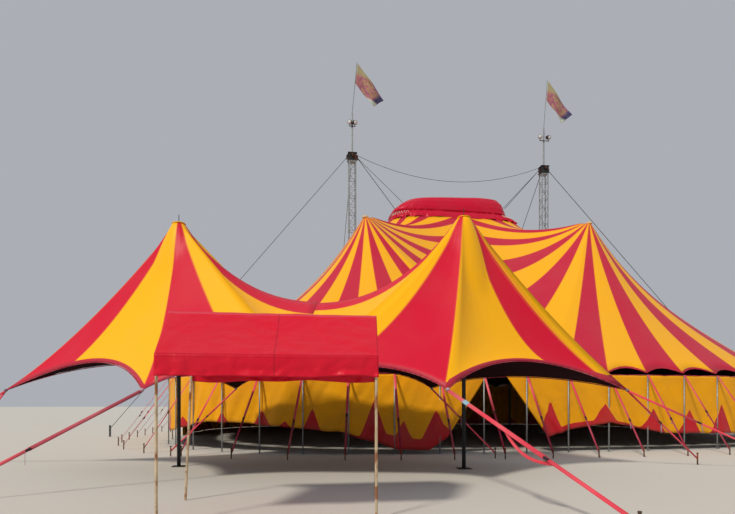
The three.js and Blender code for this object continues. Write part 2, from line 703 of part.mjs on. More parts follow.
// The rigging of half a quarter: its front stations or its side stations.
function eaveRigging(quarter, half) {
  const ends = [0, ...stationArcs, QUARTER_HEM].map((arc) => {
    const point = hemAt(arc);
    return vector(Math.max(point.x, ROPE_END_GAP), Math.max(point.y, ROPE_END_GAP), ropeHeight);
  });
  const count = STATIONS_PER_QUARTER / 2;
  const first = half === "front" ? 1 : count + 1;
  const split = ends[count].clone().lerp(ends[count + 1], half === "front" ? 0.498 : 0.502);
  const run = half === "front" ? [...ends.slice(0, count + 1), split] : [split, ...ends.slice(count + 1)];
  const pieces = [rope(run, ROPE_RADIUS)];
  for (let station = first; station < first + count; station++) {
    const normal = hemNormal(stationArcs[station - 1]);
    const out = (distance, height) => ends[station].clone()
      .add(vector(normal.x * distance, normal.y * distance, 0)).setZ(height);
    pieces.push(bar(out(SIDE_POLE_OFFSET, 0), out(SIDE_POLE_OFFSET, ropeHeight + 10), SIDE_POLE_RADIUS));
    const strapTop = out(SIDE_POLE_OFFSET, ropeHeight - 17);
    pieces.push(strip(strapTop, out(STRAP_REACH, 150), STRAP_WIDTH, STRAP_THICKNESS));
    pieces.push(strip(out(STRAP_REACH, 0), out(STRAP_REACH, STAKE_HEIGHT), 2 * STAKE_RADIUS, 2 * STAKE_RADIUS));
  }
  const mirrored = pieces.map((piece) => {
    const copy = piece.clone().scale(quarter.x, quarter.y, 1);
    return quarter.x * quarter.y < 0 ? turnedOver(copy) : copy;
  });
  return joined(mirrored);
}

// Puts the faces of a mirrored shape the right way out again.
function turnedOver(geometry) {
  const index = geometry.index.array;
  for (let i = 0; i < index.length; i += 3) [index[i], index[i + 1]] = [index[i + 1], index[i]];
  return geometry;
}

// Side walls hang from the eave rope and stop short of the ground.

function wall(topArcs, footArcs, depthSign) {
  const outer = topArcs.map((arc, i) => {
    const top = hemAt(arc);
    const foot = hemAt(footArcs[i]);
    return [
      vector(top.x, depthSign * top.y, wallTop),
      vector(foot.x, depthSign * foot.y, WALL_FOOT),
    ];
  });
  const half = WALL_THICKNESS / 2;
  const offset = (rows, distance) => rows.map((row) => row.map((p) => {
    const normal = outwardNormal(p.x, p.y, HEM_HALF_LENGTH, HEM_HALF_DEPTH, HEM_ROUNDNESS);
    return vector(p.x + normal.x * distance, p.y + normal.y * distance, p.z);
  }));
  return sheet(offset(outer, half), offset(outer, -half));
}

function wallArcs(from, to) {
  const low = Math.min(from, to);
  const high = Math.max(from, to);
  const signed = [...stationArcs.map((arc) => -arc), ...stationArcs];
  const between = signed.filter((arc) => arc > low + 200 && arc < high - 200);
  return [low, ...between.sort((a, b) => a - b), high];
}

const wallEnd = QUARTER_HEM - 5;
const frontLeftTop = wallArcs(-wallEnd, DOOR_FOOT[0]);
const frontRightTop = wallArcs(DOOR_FOOT[1], wallEnd);
const endsAt = (arcs, index, value) => arcs.map((arc, i) => (i === index ? value : arc));

// Entrance tent, in its own frame: X along its ridge, Y away from the front

function inFoyer(x, y, z) {
  return vector(x, y, z).applyAxisAngle(UP, FOYER_TURN).add(FOYER_CENTRE);
}

// One arched edge between two corners: it rises and draws in between them.
function archedEdge(from, to, arch, steps, start = 0, end = 1) {
  const inward = vector(-(to.y - from.y), to.x - from.x, 0).normalize();
  const points = [];
  for (let i = 0; i <= steps; i++) {
    const share = start + ((end - start) * i) / steps;
    const bow = 1 - Math.abs(2 * share - 1) ** arch.power;
    const point = from.clone().lerp(to, share).addScaledVector(inward, arch.inset * bow);
    points.push(vector(point.x, point.y, point.z + arch.rise * bow));
  }
  return points;
}

// The border of one half of the entrance tent, from its front middle round to its back middle.
function foyerBorder(side) {
  const hand = side === "left" ? -1 : 1;
  const corner = FOYER_CORNER[side];
  const front = vector(corner.x, -corner.y, FOYER_CORNER_HEIGHT.front);
  const frontFar = vector(-corner.x, -corner.y, FOYER_CORNER_HEIGHT.front);
  const back = vector(corner.x, corner.y, FOYER_CORNER_HEIGHT.back);
  const backFar = vector(-corner.x, corner.y, FOYER_CORNER_HEIGHT.back);
  const end = FOYER_SIDE_CORNER[side];
  const tip = vector(end.x * hand, end.y, FOYER_CORNER_HEIGHT.side);
  const half = FOYER_ARCH_STEPS / 2;
  const hem = [
    ...archedEdge(frontFar, front, FOYER_FRONT_ARCH, half, 0.5, 1),
    ...archedEdge(front, tip, FOYER_END_ARCH, FOYER_ARCH_STEPS).slice(1),
    ...archedEdge(tip, back, FOYER_END_ARCH, FOYER_ARCH_STEPS).slice(1),
    ...archedEdge(back, backFar, FOYER_FRONT_ARCH, half, 0, 0.5).slice(1),
  ];
  return hem.map((p) => vector(Math.max(p.x, SEAM_GAP), p.y, p.z));
}

// The valley across the middle of the entrance tent, from its back to its front.
function foyerValley(border) {
  const [front, back] = [border[0], border[border.length - 1]];
  const points = [];
  for (const share of [0.8, 0.55, 0.3, 0, -0.3, -0.55, -0.8]) {
    const edge = share > 0 ? back : front;
    const drop = (FOYER_SADDLE_HEIGHT - edge.z) * Math.abs(share) ** 1.2;
    points.push(vector(SEAM_GAP, Math.abs(share) * edge.y, FOYER_SADDLE_HEIGHT - drop));
  }
  return points;
}

function foyerRadius(end, onHem, side) {
  const plan = new THREE.Vector2(end.x - FOYER_PEAK_X, end.y);
  const length = plan.length();
  const direction = plan.clone().normalize();
  const arched = Math.max(0, end.z - FOYER_CORNER_HEIGHT.front) / FOYER_END_ARCH.rise;
  const hemFall = THREE.MathUtils.lerp(FOYER_CORNER_FALL[side], FOYER_ARCH_FALL[side], arched);
  const hemward = Math.abs(end.y) / FOYER_CORNER[side].y;
  const valleyFall = FOYER_VALLEY_FALL[side] * hemward * Math.abs(direction.y);
  const border = { height: end.z, slope: onHem ? -hemFall : -valleyFall };
  const power = FOYER_HOLLOW[side] + FOYER_TIP_HOLLOW[side] * Math.max(0, direction.x);
  const points = [];
  for (let step = 0; step <= RADIAL_BANDS; step++) {
    const distance = FOYER_RING_RADIUS + (length - FOYER_RING_RADIUS) * (step / RADIAL_BANDS) ** 1.3;
    const height = membraneHeight(distance, length, FOYER_APEX[side], border, power);
    points.push(vector(FOYER_PEAK_X + direction.x * distance, direction.y * distance, height));
  }
  return points;
}

const foyerSides = ["left", "right"];

function foyerHand(side) {
  return side === "left" ? -1 : 1;
}

function foyerShape(side) {
  const border = foyerBorder(side);
  const valley = foyerValley(border);
  return {
    hem: border.map((end) => foyerRadius(end, true, side)),
    valley: [border[border.length - 1], ...valley, border[0]].map((end, i, all) => (
      foyerRadius(end, i === 0 || i === all.length - 1, side)
    )),
  };
}

function foyerPanel(side, radii) {
  const hand = foyerHand(side);
  const outer = radii.map((radius) => radius.map((p) => inFoyer(p.x * hand, p.y, p.z)));
  const inner = outer.map((radius) => radius.map((p) => vector(p.x, p.y, p.z - FOYER_THICKNESS)));
  return sheet(outer, inner);
}

// Draws the two panels of a half apart by a hair where they meet.
function foyerRadii(side) {
  const shape = foyerShape(side);
  const part = (radii) => {
    const shift = (radius, neighbour) => {
      const run = vector().subVectors(radius[radius.length - 1], radius[0]).setZ(0).normalize();
      const across = vector(-run.y, run.x, 0);
      const inward = vector().subVectors(neighbour[neighbour.length - 1], radius[radius.length - 1]);
      if (across.dot(inward) < 0) across.negate();
      radius.forEach((point) => point.addScaledVector(across, SEAM_GAP));
    };
    shift(radii[0], radii[1]);
    shift(radii[radii.length - 1], radii[radii.length - 2]);
    return radii;
  };
  return { hem: part(shape.hem), valley: part(shape.valley) };
}

function foyerPole(side) {
  const hand = foyerHand(side);
  const shape = foyerShape(side);
  const turns = [...shape.hem, ...shape.valley].map((radius) => {
    const end = radius[radius.length - 1];
    return Math.atan2(end.y, end.x - FOYER_PEAK_X);
  }).sort((a, b) => a - b).filter((turn, i, all) => i === 0 || turn - all[i - 1] > 0.01);
  const radius = FOYER_RING_RADIUS - SEAT_GAP;
  const ring = (height) => turns.map((turn) => inFoyer(
    hand * (FOYER_PEAK_X + radius * Math.cos(turn)), radius * Math.sin(turn), height,
  ));
  const foot = inFoyer(hand * FOYER_PEAK_X, 0, 0);
  const at = (height) => vector(foot.x, foot.y, height);
  const crownLow = FOYER_PEAK_HEIGHT - 320;
  return joined([
    ringed([ring(crownLow), ring(FOYER_PEAK_HEIGHT + 15)]),
    block(foot.x, foot.y, 0, 300, 300, 15),
    bar(at(5), at(crownLow + 20), 45, 8),
    bar(at(FOYER_PEAK_HEIGHT), at(FOYER_TIP_HEIGHT), 12),
  ]);
}

// Edge rope of one half of the entrance tent, with a strap and a stake at each corner
function foyerRigging(side) {
  const hand = foyerHand(side);
  const hem = foyerBorder(side);
  const radius = FOYER_ROPE_RADIUS;
  const slopeAt = (a, b) => Math.abs(b.z - a.z) / Math.hypot(b.x - a.x, b.y - a.y);
  const lowered = hem.map((point, i) => {
    const before = i > 0 ? slopeAt(hem[i - 1], point) : 0;
    const after = i + 1 < hem.length ? slopeAt(point, hem[i + 1]) : 0;
    const steepest = Math.max(before, after);
    const drop = FOYER_THICKNESS + SEAT_GAP + radius * Math.hypot(1.3, steepest * 1.6);
    return vector(point.x, point.y, point.z - drop);
  });
  const placed = lowered.map((p) => inFoyer(p.x * hand, p.y, p.z));
  const pieces = [rope(placed, radius)];
  const half = FOYER_ARCH_STEPS / 2;
  const corners = [half, half + FOYER_ARCH_STEPS, half + 2 * FOYER_ARCH_STEPS];
  const far = side === "left" ? 3000 : 3700;
  const frontReach = side === "left" ? [2200, -2000] : [1960, -3465];
  const reaches = [
    [corners[0], ...frontReach],
    [corners[1], 2050, 930],
    [corners[1], far, 200],
    [corners[2], 1700, -600],
  ];
  reaches.forEach(([corner, x, y]) => {
    const top = lowered[corner];
    const foot = inFoyer((top.x + x) * hand, top.y + y, 0);
    const at = (height) => vector(foot.x, foot.y, height);
    pieces.push(strip(placed[corner], at(150), STRAP_WIDTH, STRAP_THICKNESS));
    pieces.push(strip(at(0), at(STAKE_HEIGHT), 2 * STAKE_RADIUS, 2 * STAKE_RADIUS));
  });
  return joined(pieces);
}

// Awning: a gabled cover with a valance on each long side, on a pole frame

// It stands a little askew: its back is further right than its front.
function awningCover() {
  const [front, back] = AWNING_Y;
  const middle = (front + back) / 2;
  const past = AWNING_POLE_RADIUS + SEAT_GAP;
  const low = AWNING_EAVE - AWNING_VALANCE;
  const profile = (skin) => [
    ["front", front - past - skin, low],
    ["front", front - past - skin, AWNING_EAVE + skin],
    ["ridge", middle, AWNING_RIDGE + skin * 1.2],
    ["back", back + past + skin, AWNING_EAVE + skin],
    ["back", back + past + skin, low],
  ];
  const rows = (skin) => [0, 1].map((end) => (
    profile(skin).map(([edge, y, z]) => vector(AWNING_ENDS[edge][end] + (end ? 24 : -24), y, z))
  ));
  return sheet(rows(AWNING_SKIN), rows(0));
}

function awningFrame() {
  const [front, back] = AWNING_Y;
  const depth = { front, ridge: (front + back) / 2, back };
  const eave = AWNING_EAVE - 28;
  const ridge = AWNING_RIDGE - 28;
  const radius = AWNING_POLE_RADIUS;
  const corner = (edge, end, z, past = 0) => (
    vector(AWNING_ENDS[edge][end] + (end ? past : -past), depth[edge], z)
  );
  const pieces = [];
  for (const end of [0, 1]) {
    const foot = corner("back", end, 1);
    foot.x -= end ? 0 : 95;
    pieces.push(bar(foot, corner("back", end, eave), radius));
    pieces.push(bar(corner("front", end, 0), corner("front", end, eave), radius));
    pieces.push(bar(corner("front", end, eave), corner("ridge", end, ridge), radius));
    pieces.push(bar(corner("ridge", end, ridge), corner("back", end, eave), radius));
  }
  for (const [edge, z] of [["front", eave], ["ridge", ridge], ["back", eave]]) {
    pieces.push(bar(corner(edge, 0, z, 12), corner(edge, 1, z, 12), radius));
  }
  return joined(pieces);
}

// Assembly

for (const quarter of quarters) {
  addPiece(`canopy_${quarter.name}_outer`, canopyPanel(quarter, outerDirections), "yellow");
  addPiece(`canopy_${quarter.name}_inner`, canopyPanel(quarter, innerDirections), "red");
  addPiece(`peak_pole_${quarter.name}`, peakPole(quarter), "steel");
  addPiece(`end_rigging_${quarter.name}`, eaveRigging(quarter, "side"), "strap");
  addPiece(`long_rigging_${quarter.name}`, eaveRigging(quarter, "front"), "strap");
}

addPiece("cupola_cover", cupolaCover(), "red");
addPiece("cupola_beam", cupolaBeam(), "dark");

for (const side of [{ name: "left", x: -1 }, { name: "right", x: 1 }]) {
  const x = side.x * MAST_X;
  const shackle = HEAD_WIDTH / 2 + 30 + SEAT_GAP;
  addPiece(`mast_${side.name}`, mast(x), "steel");
  addPiece(`mast_head_${side.name}`, mastHead(x), "dark");
  addPiece(`flagpole_${side.name}`, flagpole(x, FLAGPOLE_LEAN[side.name]), "steel");
  addPiece(`floodlights_${side.name}`, lampBar(x), "dark");
  addPiece(`flag_${side.name}`, flag(x, FLAGPOLE_LEAN[side.name]), "flag");
  addPiece(`side_guy_${side.name}`, guy(x + side.x * shackle, 0, side.x * SIDE_GUY_REACH[side.name], 0), "cable");
  addPiece(`back_stay_${side.name}`, backStay(side), "cable");
  addPiece(`cupola_cables_${side.name}`, cupolaCables(side.x), "cable");
}
addPiece("mast_line", mastLine(), "cable");

const frontLeftFoot = frontLeftTop;
const frontRightFoot = frontRightTop;
addPiece("wall_front_left", wall(
  endsAt(frontLeftTop, frontLeftTop.length - 1, DOOR_TOP[0]), frontLeftFoot, -1,
), "yellow");
addPiece("wall_front_right", wall(
  endsAt(frontRightTop, 0, DOOR_TOP[1]), frontRightFoot, -1,
), "yellow");
addPiece("wall_back_left", wall(wallArcs(-wallEnd, -5), wallArcs(-wallEnd, -5), 1), "yellow");
addPiece("wall_back_right", wall(wallArcs(5, wallEnd), wallArcs(5, wallEnd), 1), "yellow");

for (const side of foyerSides) {
  const radii = foyerRadii(side);
  addPiece(`foyer_canopy_${side}_outer`, foyerPanel(side, radii.hem), "yellow");
  addPiece(`foyer_canopy_${side}_inner`, foyerPanel(side, radii.valley), "red");
  addPiece(`foyer_pole_${side}`, foyerPole(side), "steel");
  addPiece(`foyer_rigging_${side}`, foyerRigging(side), "strap");
}

addPiece("awning_cover", awningCover(), "red");
addPiece("awning_frame", awningFrame(), "pole");

// The origin is on the ground in the middle of the footprint.
const footprint = new THREE.Box3().setFromObject(tent).getCenter(vector());
tent.position.set(-footprint.x, -footprint.y, 0);

export default tent;
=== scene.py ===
# %% [markdown]
# A circus big top, built in cells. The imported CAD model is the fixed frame: it says where every
# mast, hem and stake is. Each cell below makes one piece or one finish of the tent, in metres, in
# that same frame, so nothing has to be fitted afterwards.

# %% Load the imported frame
import json
import math
import random
from bisect import bisect

import bmesh
import bpy
from mathutils import Matrix, Vector, noise


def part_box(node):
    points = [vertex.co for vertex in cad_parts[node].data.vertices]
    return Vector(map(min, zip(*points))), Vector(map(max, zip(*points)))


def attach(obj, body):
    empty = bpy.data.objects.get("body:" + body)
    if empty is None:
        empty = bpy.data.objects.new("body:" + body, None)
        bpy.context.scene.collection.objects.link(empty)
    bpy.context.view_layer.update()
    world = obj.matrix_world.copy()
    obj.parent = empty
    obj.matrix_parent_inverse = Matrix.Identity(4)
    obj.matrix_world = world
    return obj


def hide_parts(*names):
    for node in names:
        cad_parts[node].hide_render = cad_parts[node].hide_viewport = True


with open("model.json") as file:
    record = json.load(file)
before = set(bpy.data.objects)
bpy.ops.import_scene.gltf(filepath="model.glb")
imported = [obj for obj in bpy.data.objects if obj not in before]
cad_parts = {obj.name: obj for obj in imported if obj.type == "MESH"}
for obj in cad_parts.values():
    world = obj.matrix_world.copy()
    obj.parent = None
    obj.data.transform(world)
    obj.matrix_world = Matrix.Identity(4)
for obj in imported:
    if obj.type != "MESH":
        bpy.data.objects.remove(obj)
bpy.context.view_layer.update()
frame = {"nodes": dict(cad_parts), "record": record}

dice = random.Random(7)
scene = bpy.context.scene

# %% [markdown]
# The tent was laid out from a point on the ground midway between the two lattice masts. The pack
# step moved the origin to the middle of the footprint, so the tent's own origin is measured back
# from the boxes of the masts. Everything below is placed through at(x, y, z).

# %% The tent's own origin
mast_corners = [*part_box("mast_left"), *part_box("mast_right")]
origin = sum(mast_corners, Vector()) / 4
origin.z = 0


def at(x, y, z):
    """A point of the tent: x along the line of the masts, y to the back, z up."""
    return origin + Vector((x, y, z))


print("tent origin", origin)

# %% [markdown]
# The camera stands where the photographer stood, at eye level in front of the entrance tent. It is
# kept level and the frame is moved up with the lens shift, as an architectural photographer does,
# so that masts and poles stay upright in the picture.

# %% Camera
FOCAL_PIXELS = 558
FRAME_WIDTH, FRAME_HEIGHT, HORIZON = 735, 514, 400
camera = bpy.data.objects.new("camera", bpy.data.cameras.new("camera"))
scene.collection.objects.link(camera)
camera.location = at(-8.052, -25.797, 1.6)
camera.rotation_euler = (math.radians(90), 0, math.radians(-8.87))
camera.data.lens = camera.data.sensor_width * FOCAL_PIXELS / FRAME_WIDTH
camera.data.shift_y = (HORIZON - FRAME_HEIGHT / 2) / FRAME_WIDTH
camera.data.clip_end = 300
scene.camera = camera
print("lens", round(camera.data.lens, 2), "mm, shift", round(camera.data.shift_y, 3))

# %% [markdown]
# Soft studio light: a pale world fills every side, and one broad sun from the front left shapes
# the slopes of the cloth. The floor is plain and pale, and it isn't part of the tent.

# %% Light and floor


def linear(code):
    """Scene colour for an sRGB hex value."""
    parts = [int(code[i : i + 2], 16) / 255 for i in (1, 3, 5)]
    return (*[v / 12.92 if v <= 0.04045 else ((v + 0.055) / 1.055) ** 2.4 for v in parts], 1)


def plain(name, code, roughness):
    """A material with one colour to start from."""
    material = bpy.data.materials.new(name)
    material.use_nodes = True
    shader = material.node_tree.nodes["Principled BSDF"]
    shader.inputs["Base Color"].default_value = linear(code)
    shader.inputs["Roughness"].default_value = roughness
    shader.inputs["Specular IOR Level"].default_value = 0.16
    return material


scene.view_settings.view_transform = "Standard"
world = bpy.data.worlds.new("studio")
scene.world = world
world.use_nodes = True
sky = world.node_tree.nodes["Background"].inputs
sky["Color"].default_value = linear("#e9eef6")
sky["Strength"].default_value = 0.5

sun = bpy.data.objects.new("sun", bpy.data.lights.new("sun", "SUN"))
scene.collection.objects.link(sun)
sun.data.energy = 2.5
sun.data.angle = math.radians(7)
sun.data.color = linear("#fff4e2")[:3]
sun.rotation_euler = (math.radians(44), 0, math.radians(-48))


def keep(name, shape, material, *, smooth=True):
    """Turns a bmesh into an object with a material."""
    mesh = bpy.data.meshes.new(name)
    shape.to_mesh(mesh)
    shape.free()
    thing = bpy.data.objects.new(name, mesh)
    scene.collection.objects.link(thing)
    mesh.materials.append(material)
    mesh.polygons.foreach_set("use_smooth", [smooth] * len(mesh.polygons))
    return thing


ground = bmesh.new()
bmesh.ops.create_grid(ground, x_segments=2, y_segments=2, size=120)
floor = keep("floor", ground, plain("pale studio floor", "#c9c7c2", 0.85), smooth=False)
print("light and floor ready")

# %% [markdown]
# The big top's cloth is polyester scrim coated with PVC. It is nearly smooth, with a satin gloss,
# and its colour is even. What the eye reads are the gores, the welded seams between them, soft
# creases under tension and a little dust. The pattern follows the surface, so it is drawn in the
# piece's own UV map: u counts gores from seam to seam, and v is the distance from the hem in
# metres. A second attribute gives the distance to the nearest seam, so seams keep their width.

# %% Striped coated cloth
# Sizes of the dust patches, of the long creases across the gores and of the soft ones.
PANEL_DUST_MM, LONG_CREASE_MM, PANEL_CREASE_MM = 1400, 200, 260
WELD_WIDTH = 0.018


def add(tree, kind, sockets=None, **settings):
    """Adds one node with its settings. A socket is given a value or linked to another node's."""
    made = tree.nodes.new("ShaderNode" + kind)
    for name, value in settings.items():
        setattr(made, name, value)
    for key, value in (sockets or {}).items():
        if isinstance(value, bpy.types.NodeSocket):
            tree.links.new(value, made.inputs[key])
        else:
            made.inputs[key].default_value = value
    return made


def striped_cloth(name, red, yellow, hem_band):
    """PVC coated polyester in red and yellow gores, with welded seams and a bound hem."""
    material = plain(name, red, 0.42)
    tree = material.node_tree
    shader = tree.nodes["Principled BSDF"]
    where = add(tree, "TexCoord").outputs["Object"]
    pattern = add(tree, "SeparateXYZ", {0: add(tree, "UVMap", uv_map="cloth").outputs[0]})
    gore, hem = pattern.outputs["X"], pattern.outputs["Y"]
    parity = add(tree, "Math", {0: gore, 1: 2.0}, operation="FLOORED_MODULO").outputs[0]
    is_yellow = add(tree, "Math", {0: parity, 1: 1.0}, operation="GREATER_THAN").outputs[0]
    # Two layers overlap at a weld, so the light comes back a little warmer there.
    seam = add(tree, "Attribute", attribute_name="seam").outputs["Fac"]
    on_seam = add(tree, "Math", {0: seam, 1: WELD_WIDTH}, operation="LESS_THAN").outputs[0]
    weld = add(tree, "Math", {0: on_seam, 1: 0.4}, operation="MULTIPLY").outputs[0]
    in_hem = add(tree, "Math", {0: hem, 1: hem_band}, operation="LESS_THAN").outputs[0]
    # Dust and fading, in soft patches.
    patches = add(tree, "TexNoise", {"Vector": where, "Scale": 1000 / PANEL_DUST_MM, "Detail": 5})
    dust = add(tree, "MapRange", {0: patches.outputs[0], 1: 0.4, 2: 0.8, 3: 0.0, 4: 0.07}).outputs[0]
    cloth = linear(red)
    for share, code in ((is_yellow, yellow), (weld, "#d9702e"), (in_hem, "#bd2f45"), (dust, "#b98d72")):
        cloth = add(tree, "Mix", {0: share, 6: cloth, 7: linear(code)}, data_type="RGBA").outputs[2]
    tree.links.new(cloth, shader.inputs["Base Color"])
    # Creases run along the gores: the UV is stretched so that they are long and narrow.
    short = add(tree, "Math", {0: hem, 1: 0.12}, operation="MULTIPLY").outputs[0]
    along = add(tree, "CombineXYZ", {"X": gore, "Y": short, "Z": 0.0}).outputs[0]
    long_creases = add(tree, "TexNoise", {"Vector": along, "Scale": 1000 / LONG_CREASE_MM, "Detail": 4})
    soft_creases = add(tree, "TexNoise", {"Vector": where, "Scale": 1000 / PANEL_CREASE_MM, "Detail": 3})
    both = {0: long_creases.outputs[0], 1: soft_creases.outputs[0]}
    height = add(tree, "Math", both, operation="ADD").outputs[0]
    relief = add(tree, "Bump", {"Height": height, "Strength": 0.3, "Distance": 0.02})
    tree.links.new(relief.outputs[0], shader.inputs["Normal"])
    return material


big_top_cloth = striped_cloth("PVC coated polyester, gores", "#be2540", "#f3b019", 0.07)
# The underside of the canopies is painted near black: painted shade.
painted_underside_shade = plain("dark inner coating", "#2c1015", 0.75)
print("striped cloth:", len(big_top_cloth.node_tree.nodes), "nodes")

# %% [markdown]
# The canopy hangs from four peaks. Every quarter is a fan of radii from its peak to its border:
# the hem outside, the rim of the cupola inside, and the two middle planes where it meets its
# neighbours. A grid is made with one operator, and each of its columns becomes a radius. That
# keeps the seams of the gores on the grid's own edges, so they stay crisp from peak to hem.

# %% The plan of the canopy
HEM_SIDES, HEM_POWER, HEM_HEIGHT = (12.4, 9.8), 3.2, 2.45
CUPOLA_SIDES, CUPOLA_POWER, RIM_HEIGHT = (3.0, 1.5), 4, 9.85
MAST_X = 4.75
PEAK = Vector((MAST_X, 4.1))
PEAK_HEIGHT = {-1: 8.91, 1: 9.13}
MAST_HOLE = 0.33
STATIONS = 14
QUARTERS = [(-1, -1), (-1, 1), (1, -1), (1, 1)]
# Turns round the peak of the seams on its inner side: the gores are narrow towards the cupola.
INNER_TURNS = [
    35.4, 49.4, 62.9, 76.3, 87.5, 101.2, 108.3, 116.6, 120.8, 128, 133,
    140, 145, 152, 157, 164.5, 172, 186, 201, 216, 231, 246,
]
FRONT_FALL, SIDE_FALL, RIM_SLOPE, SIDE_VALLEY_FALL = 0.86, 0.58, 0.9, 0.3
HOLLOW_HEM, HOLLOW_RIM, HOLLOW_SIDE = 1.97, 2.24, 4.41
HEM_STEPS = 1500


def on_oval(sides, power, angle):
    return Vector((
        sides[0] * math.cos(angle) ** (2 / power),
        sides[1] * math.sin(angle) ** (2 / power),
    ))


angles = [math.pi / 2 * (1 - i / HEM_STEPS) for i in range(HEM_STEPS)]
hem_points = [on_oval(HEM_SIDES, HEM_POWER, angle) for angle in angles]
hem_points.append(Vector((HEM_SIDES[0], 0)))
hem_arcs = [0.0]
for before, after in zip(hem_points, hem_points[1:]):
    hem_arcs.append(hem_arcs[-1] + (after - before).length)
QUARTER_HEM = hem_arcs[-1]
BAY = QUARTER_HEM / STATIONS


def hem_at(arc):
    """Plan point of the hem at a distance from the front middle; negative arcs go left."""
    reach = min(abs(arc), QUARTER_HEM)
    above = min(max(1, bisect(hem_arcs, reach)), HEM_STEPS)
    share = (reach - hem_arcs[above - 1]) / (hem_arcs[above] - hem_arcs[above - 1])
    point = hem_points[above - 1].lerp(hem_points[above], share)
    return Vector((math.copysign(point.x, arc), point.y))


def inside(point, sides, power):
    return (abs(point.x) / sides[0]) ** power + (abs(point.y) / sides[1]) ** power


def outward(point, sides, power):
    return Vector((
        (abs(point.x) / sides[0]) ** (power - 1) / sides[0],
        (abs(point.y) / sides[1]) ** (power - 1) / sides[1],
    )).normalized()


print("hem of a quarter:", round(QUARTER_HEM, 2), "m in bays of", round(BAY, 2), "m")

# %% Height of the two middle planes
FALL = RIM_HEIGHT - HEM_HEIGHT
FRONT_RUN = HEM_SIDES[1] - CUPOLA_SIDES[1]
SIDE_RUN = HEM_SIDES[0] - CUPOLA_SIDES[0]


def front_valley(y):
    share = (y - CUPOLA_SIDES[1]) / FRONT_RUN
    height = HEM_HEIGHT + FALL * (1 - 1.1 * share + 0.1 * share**2)
    return height, FALL * (1.1 - 0.2 * share) / FRONT_RUN


def side_valley(x):
    left = max(0, 1 - (x - CUPOLA_SIDES[0]) / SIDE_RUN)
    straight = SIDE_VALLEY_FALL * SIDE_RUN
    height = HEM_HEIGHT + straight * left + (FALL - straight) * left**1.5
    return height, (straight + 1.5 * (FALL - straight) * left**0.5) / SIDE_RUN


print("valley over the front hem falls", round(front_valley(HEM_SIDES[1])[1], 2), "m a metre")

# %% Radii from a peak to the border


def on_canopy(point):
    clear_of_mast = max(abs(point.x - PEAK.x), abs(point.y)) > MAST_HOLE
    on_cloth = inside(point, HEM_SIDES, HEM_POWER) < 1 < inside(point, CUPOLA_SIDES, CUPOLA_POWER)
    return point.x > 0 and point.y > 0 and on_cloth and clear_of_mast


def reach_of(way):
    """How far a radius from the peak runs over the cloth, found by halving steps."""
    far = 0.2
    while on_canopy(PEAK + way * far):
        far += 0.2
    near = far - 0.2
    for _ in range(22):
        middle = (near + far) / 2
        near, far = (middle, far) if on_canopy(PEAK + way * middle) else (near, middle)
    return near


def border_of(point, way):
    """Height at a radius's end, and the slope of the cloth along the radius there."""
    if inside(point, HEM_SIDES, HEM_POWER) > 0.9999:
        away = outward(point, HEM_SIDES, HEM_POWER)
        edge_fall = SIDE_FALL + (FRONT_FALL - SIDE_FALL) * away.y**2
        middle = math.exp(-((point.x / 2.5) ** 2))
        fall = edge_fall + (front_valley(HEM_SIDES[1])[1] - edge_fall) * middle
        return HEM_HEIGHT, -fall * away.dot(way)
    if inside(point, CUPOLA_SIDES, CUPOLA_POWER) < 1.001:
        return RIM_HEIGHT, -RIM_SLOPE * outward(point, CUPOLA_SIDES, CUPOLA_POWER).dot(way)
    if point.y < 0.001 or max(abs(point.x - PEAK.x), abs(point.y)) < MAST_HOLE + 0.001:
        height, fall = side_valley(point.x)
        return height, -fall * way.x
    height, fall = front_valley(point.y)
    return height, -fall * way.y


def hollow_of(border, way):
    """How hollow a radius is: more towards the side of the tent, and a little at the rim."""
    near_rim = min(max((border[0] - 6.5) / (RIM_HEIGHT - 6.5), 0), 1)
    near_rim *= near_rim * (3 - 2 * near_rim)
    middle = HOLLOW_HEM + (HOLLOW_RIM - HOLLOW_HEM) * near_rim
    return middle + (HOLLOW_SIDE - HOLLOW_HEM) * max(0, way.x)


def membrane(distance, length, peak_height, border, power):
    """A straight run with the border's slope, and on it a hollow curve that climbs to the peak."""
    height, slope = border
    rise = peak_height - (height - slope * length)
    return height - slope * (length - distance) + rise * (1 - distance / length) ** power


print("radius to the front hem:", round(reach_of(Vector((0, 1))), 2), "m")

# %% Gores round a peak


def turn_of(way):
    """Turn round the peak: 0 is straight to the front hem, and it grows towards the middle."""
    return math.atan2(-way.x, way.y)


def way_at(turn):
    return Vector((-math.sin(turn), math.cos(turn)))


first_turn = turn_of(hem_at(0.5 * BAY) - PEAK)
last_turn = turn_of(hem_at((STATIONS - 0.5) * BAY) - PEAK) + 2 * math.pi
# The seams go on from the last station of the hem, so they are listed backwards from there.
inner_seams = [last_turn, *[math.radians(t) for t in reversed(INNER_TURNS[1:-1])], first_turn]
GORES = STATIONS - 1 + len(inner_seams) - 1


def gore_way(gore):
    """Direction of a gore coordinate: 0 to 13 along the hem, then on round the inner side."""
    if gore <= STATIONS - 1:
        return (hem_at((gore + 0.5) * BAY) - PEAK).normalized()
    k = min(int(gore - STATIONS + 1), len(inner_seams) - 2)
    share = gore - STATIONS + 1 - k
    return way_at(inner_seams[k] + (inner_seams[k + 1] - inner_seams[k]) * share)


def gore_of(turn):
    """Gore coordinate of a turn on the inner side."""
    k = min(sum(turn < seam for seam in inner_seams[1:]), len(inner_seams) - 2)
    return STATIONS - 1 + k + (inner_seams[k] - turn) / (inner_seams[k] - inner_seams[k + 1])


def gore_opening(gore):
    """Angle between the two seams of a gore."""
    k = min(int(gore), GORES - 1)
    return gore_way(k).angle(gore_way(k + 1))


print(GORES, "gores a peak,", len(inner_seams) - 1, "of them on its inner side")

# %% Columns of the canopy's grid
COLUMNS_PER_GORE, ROWS = 6, 22
SCALLOP, BILLOW = 0.2, 0.012

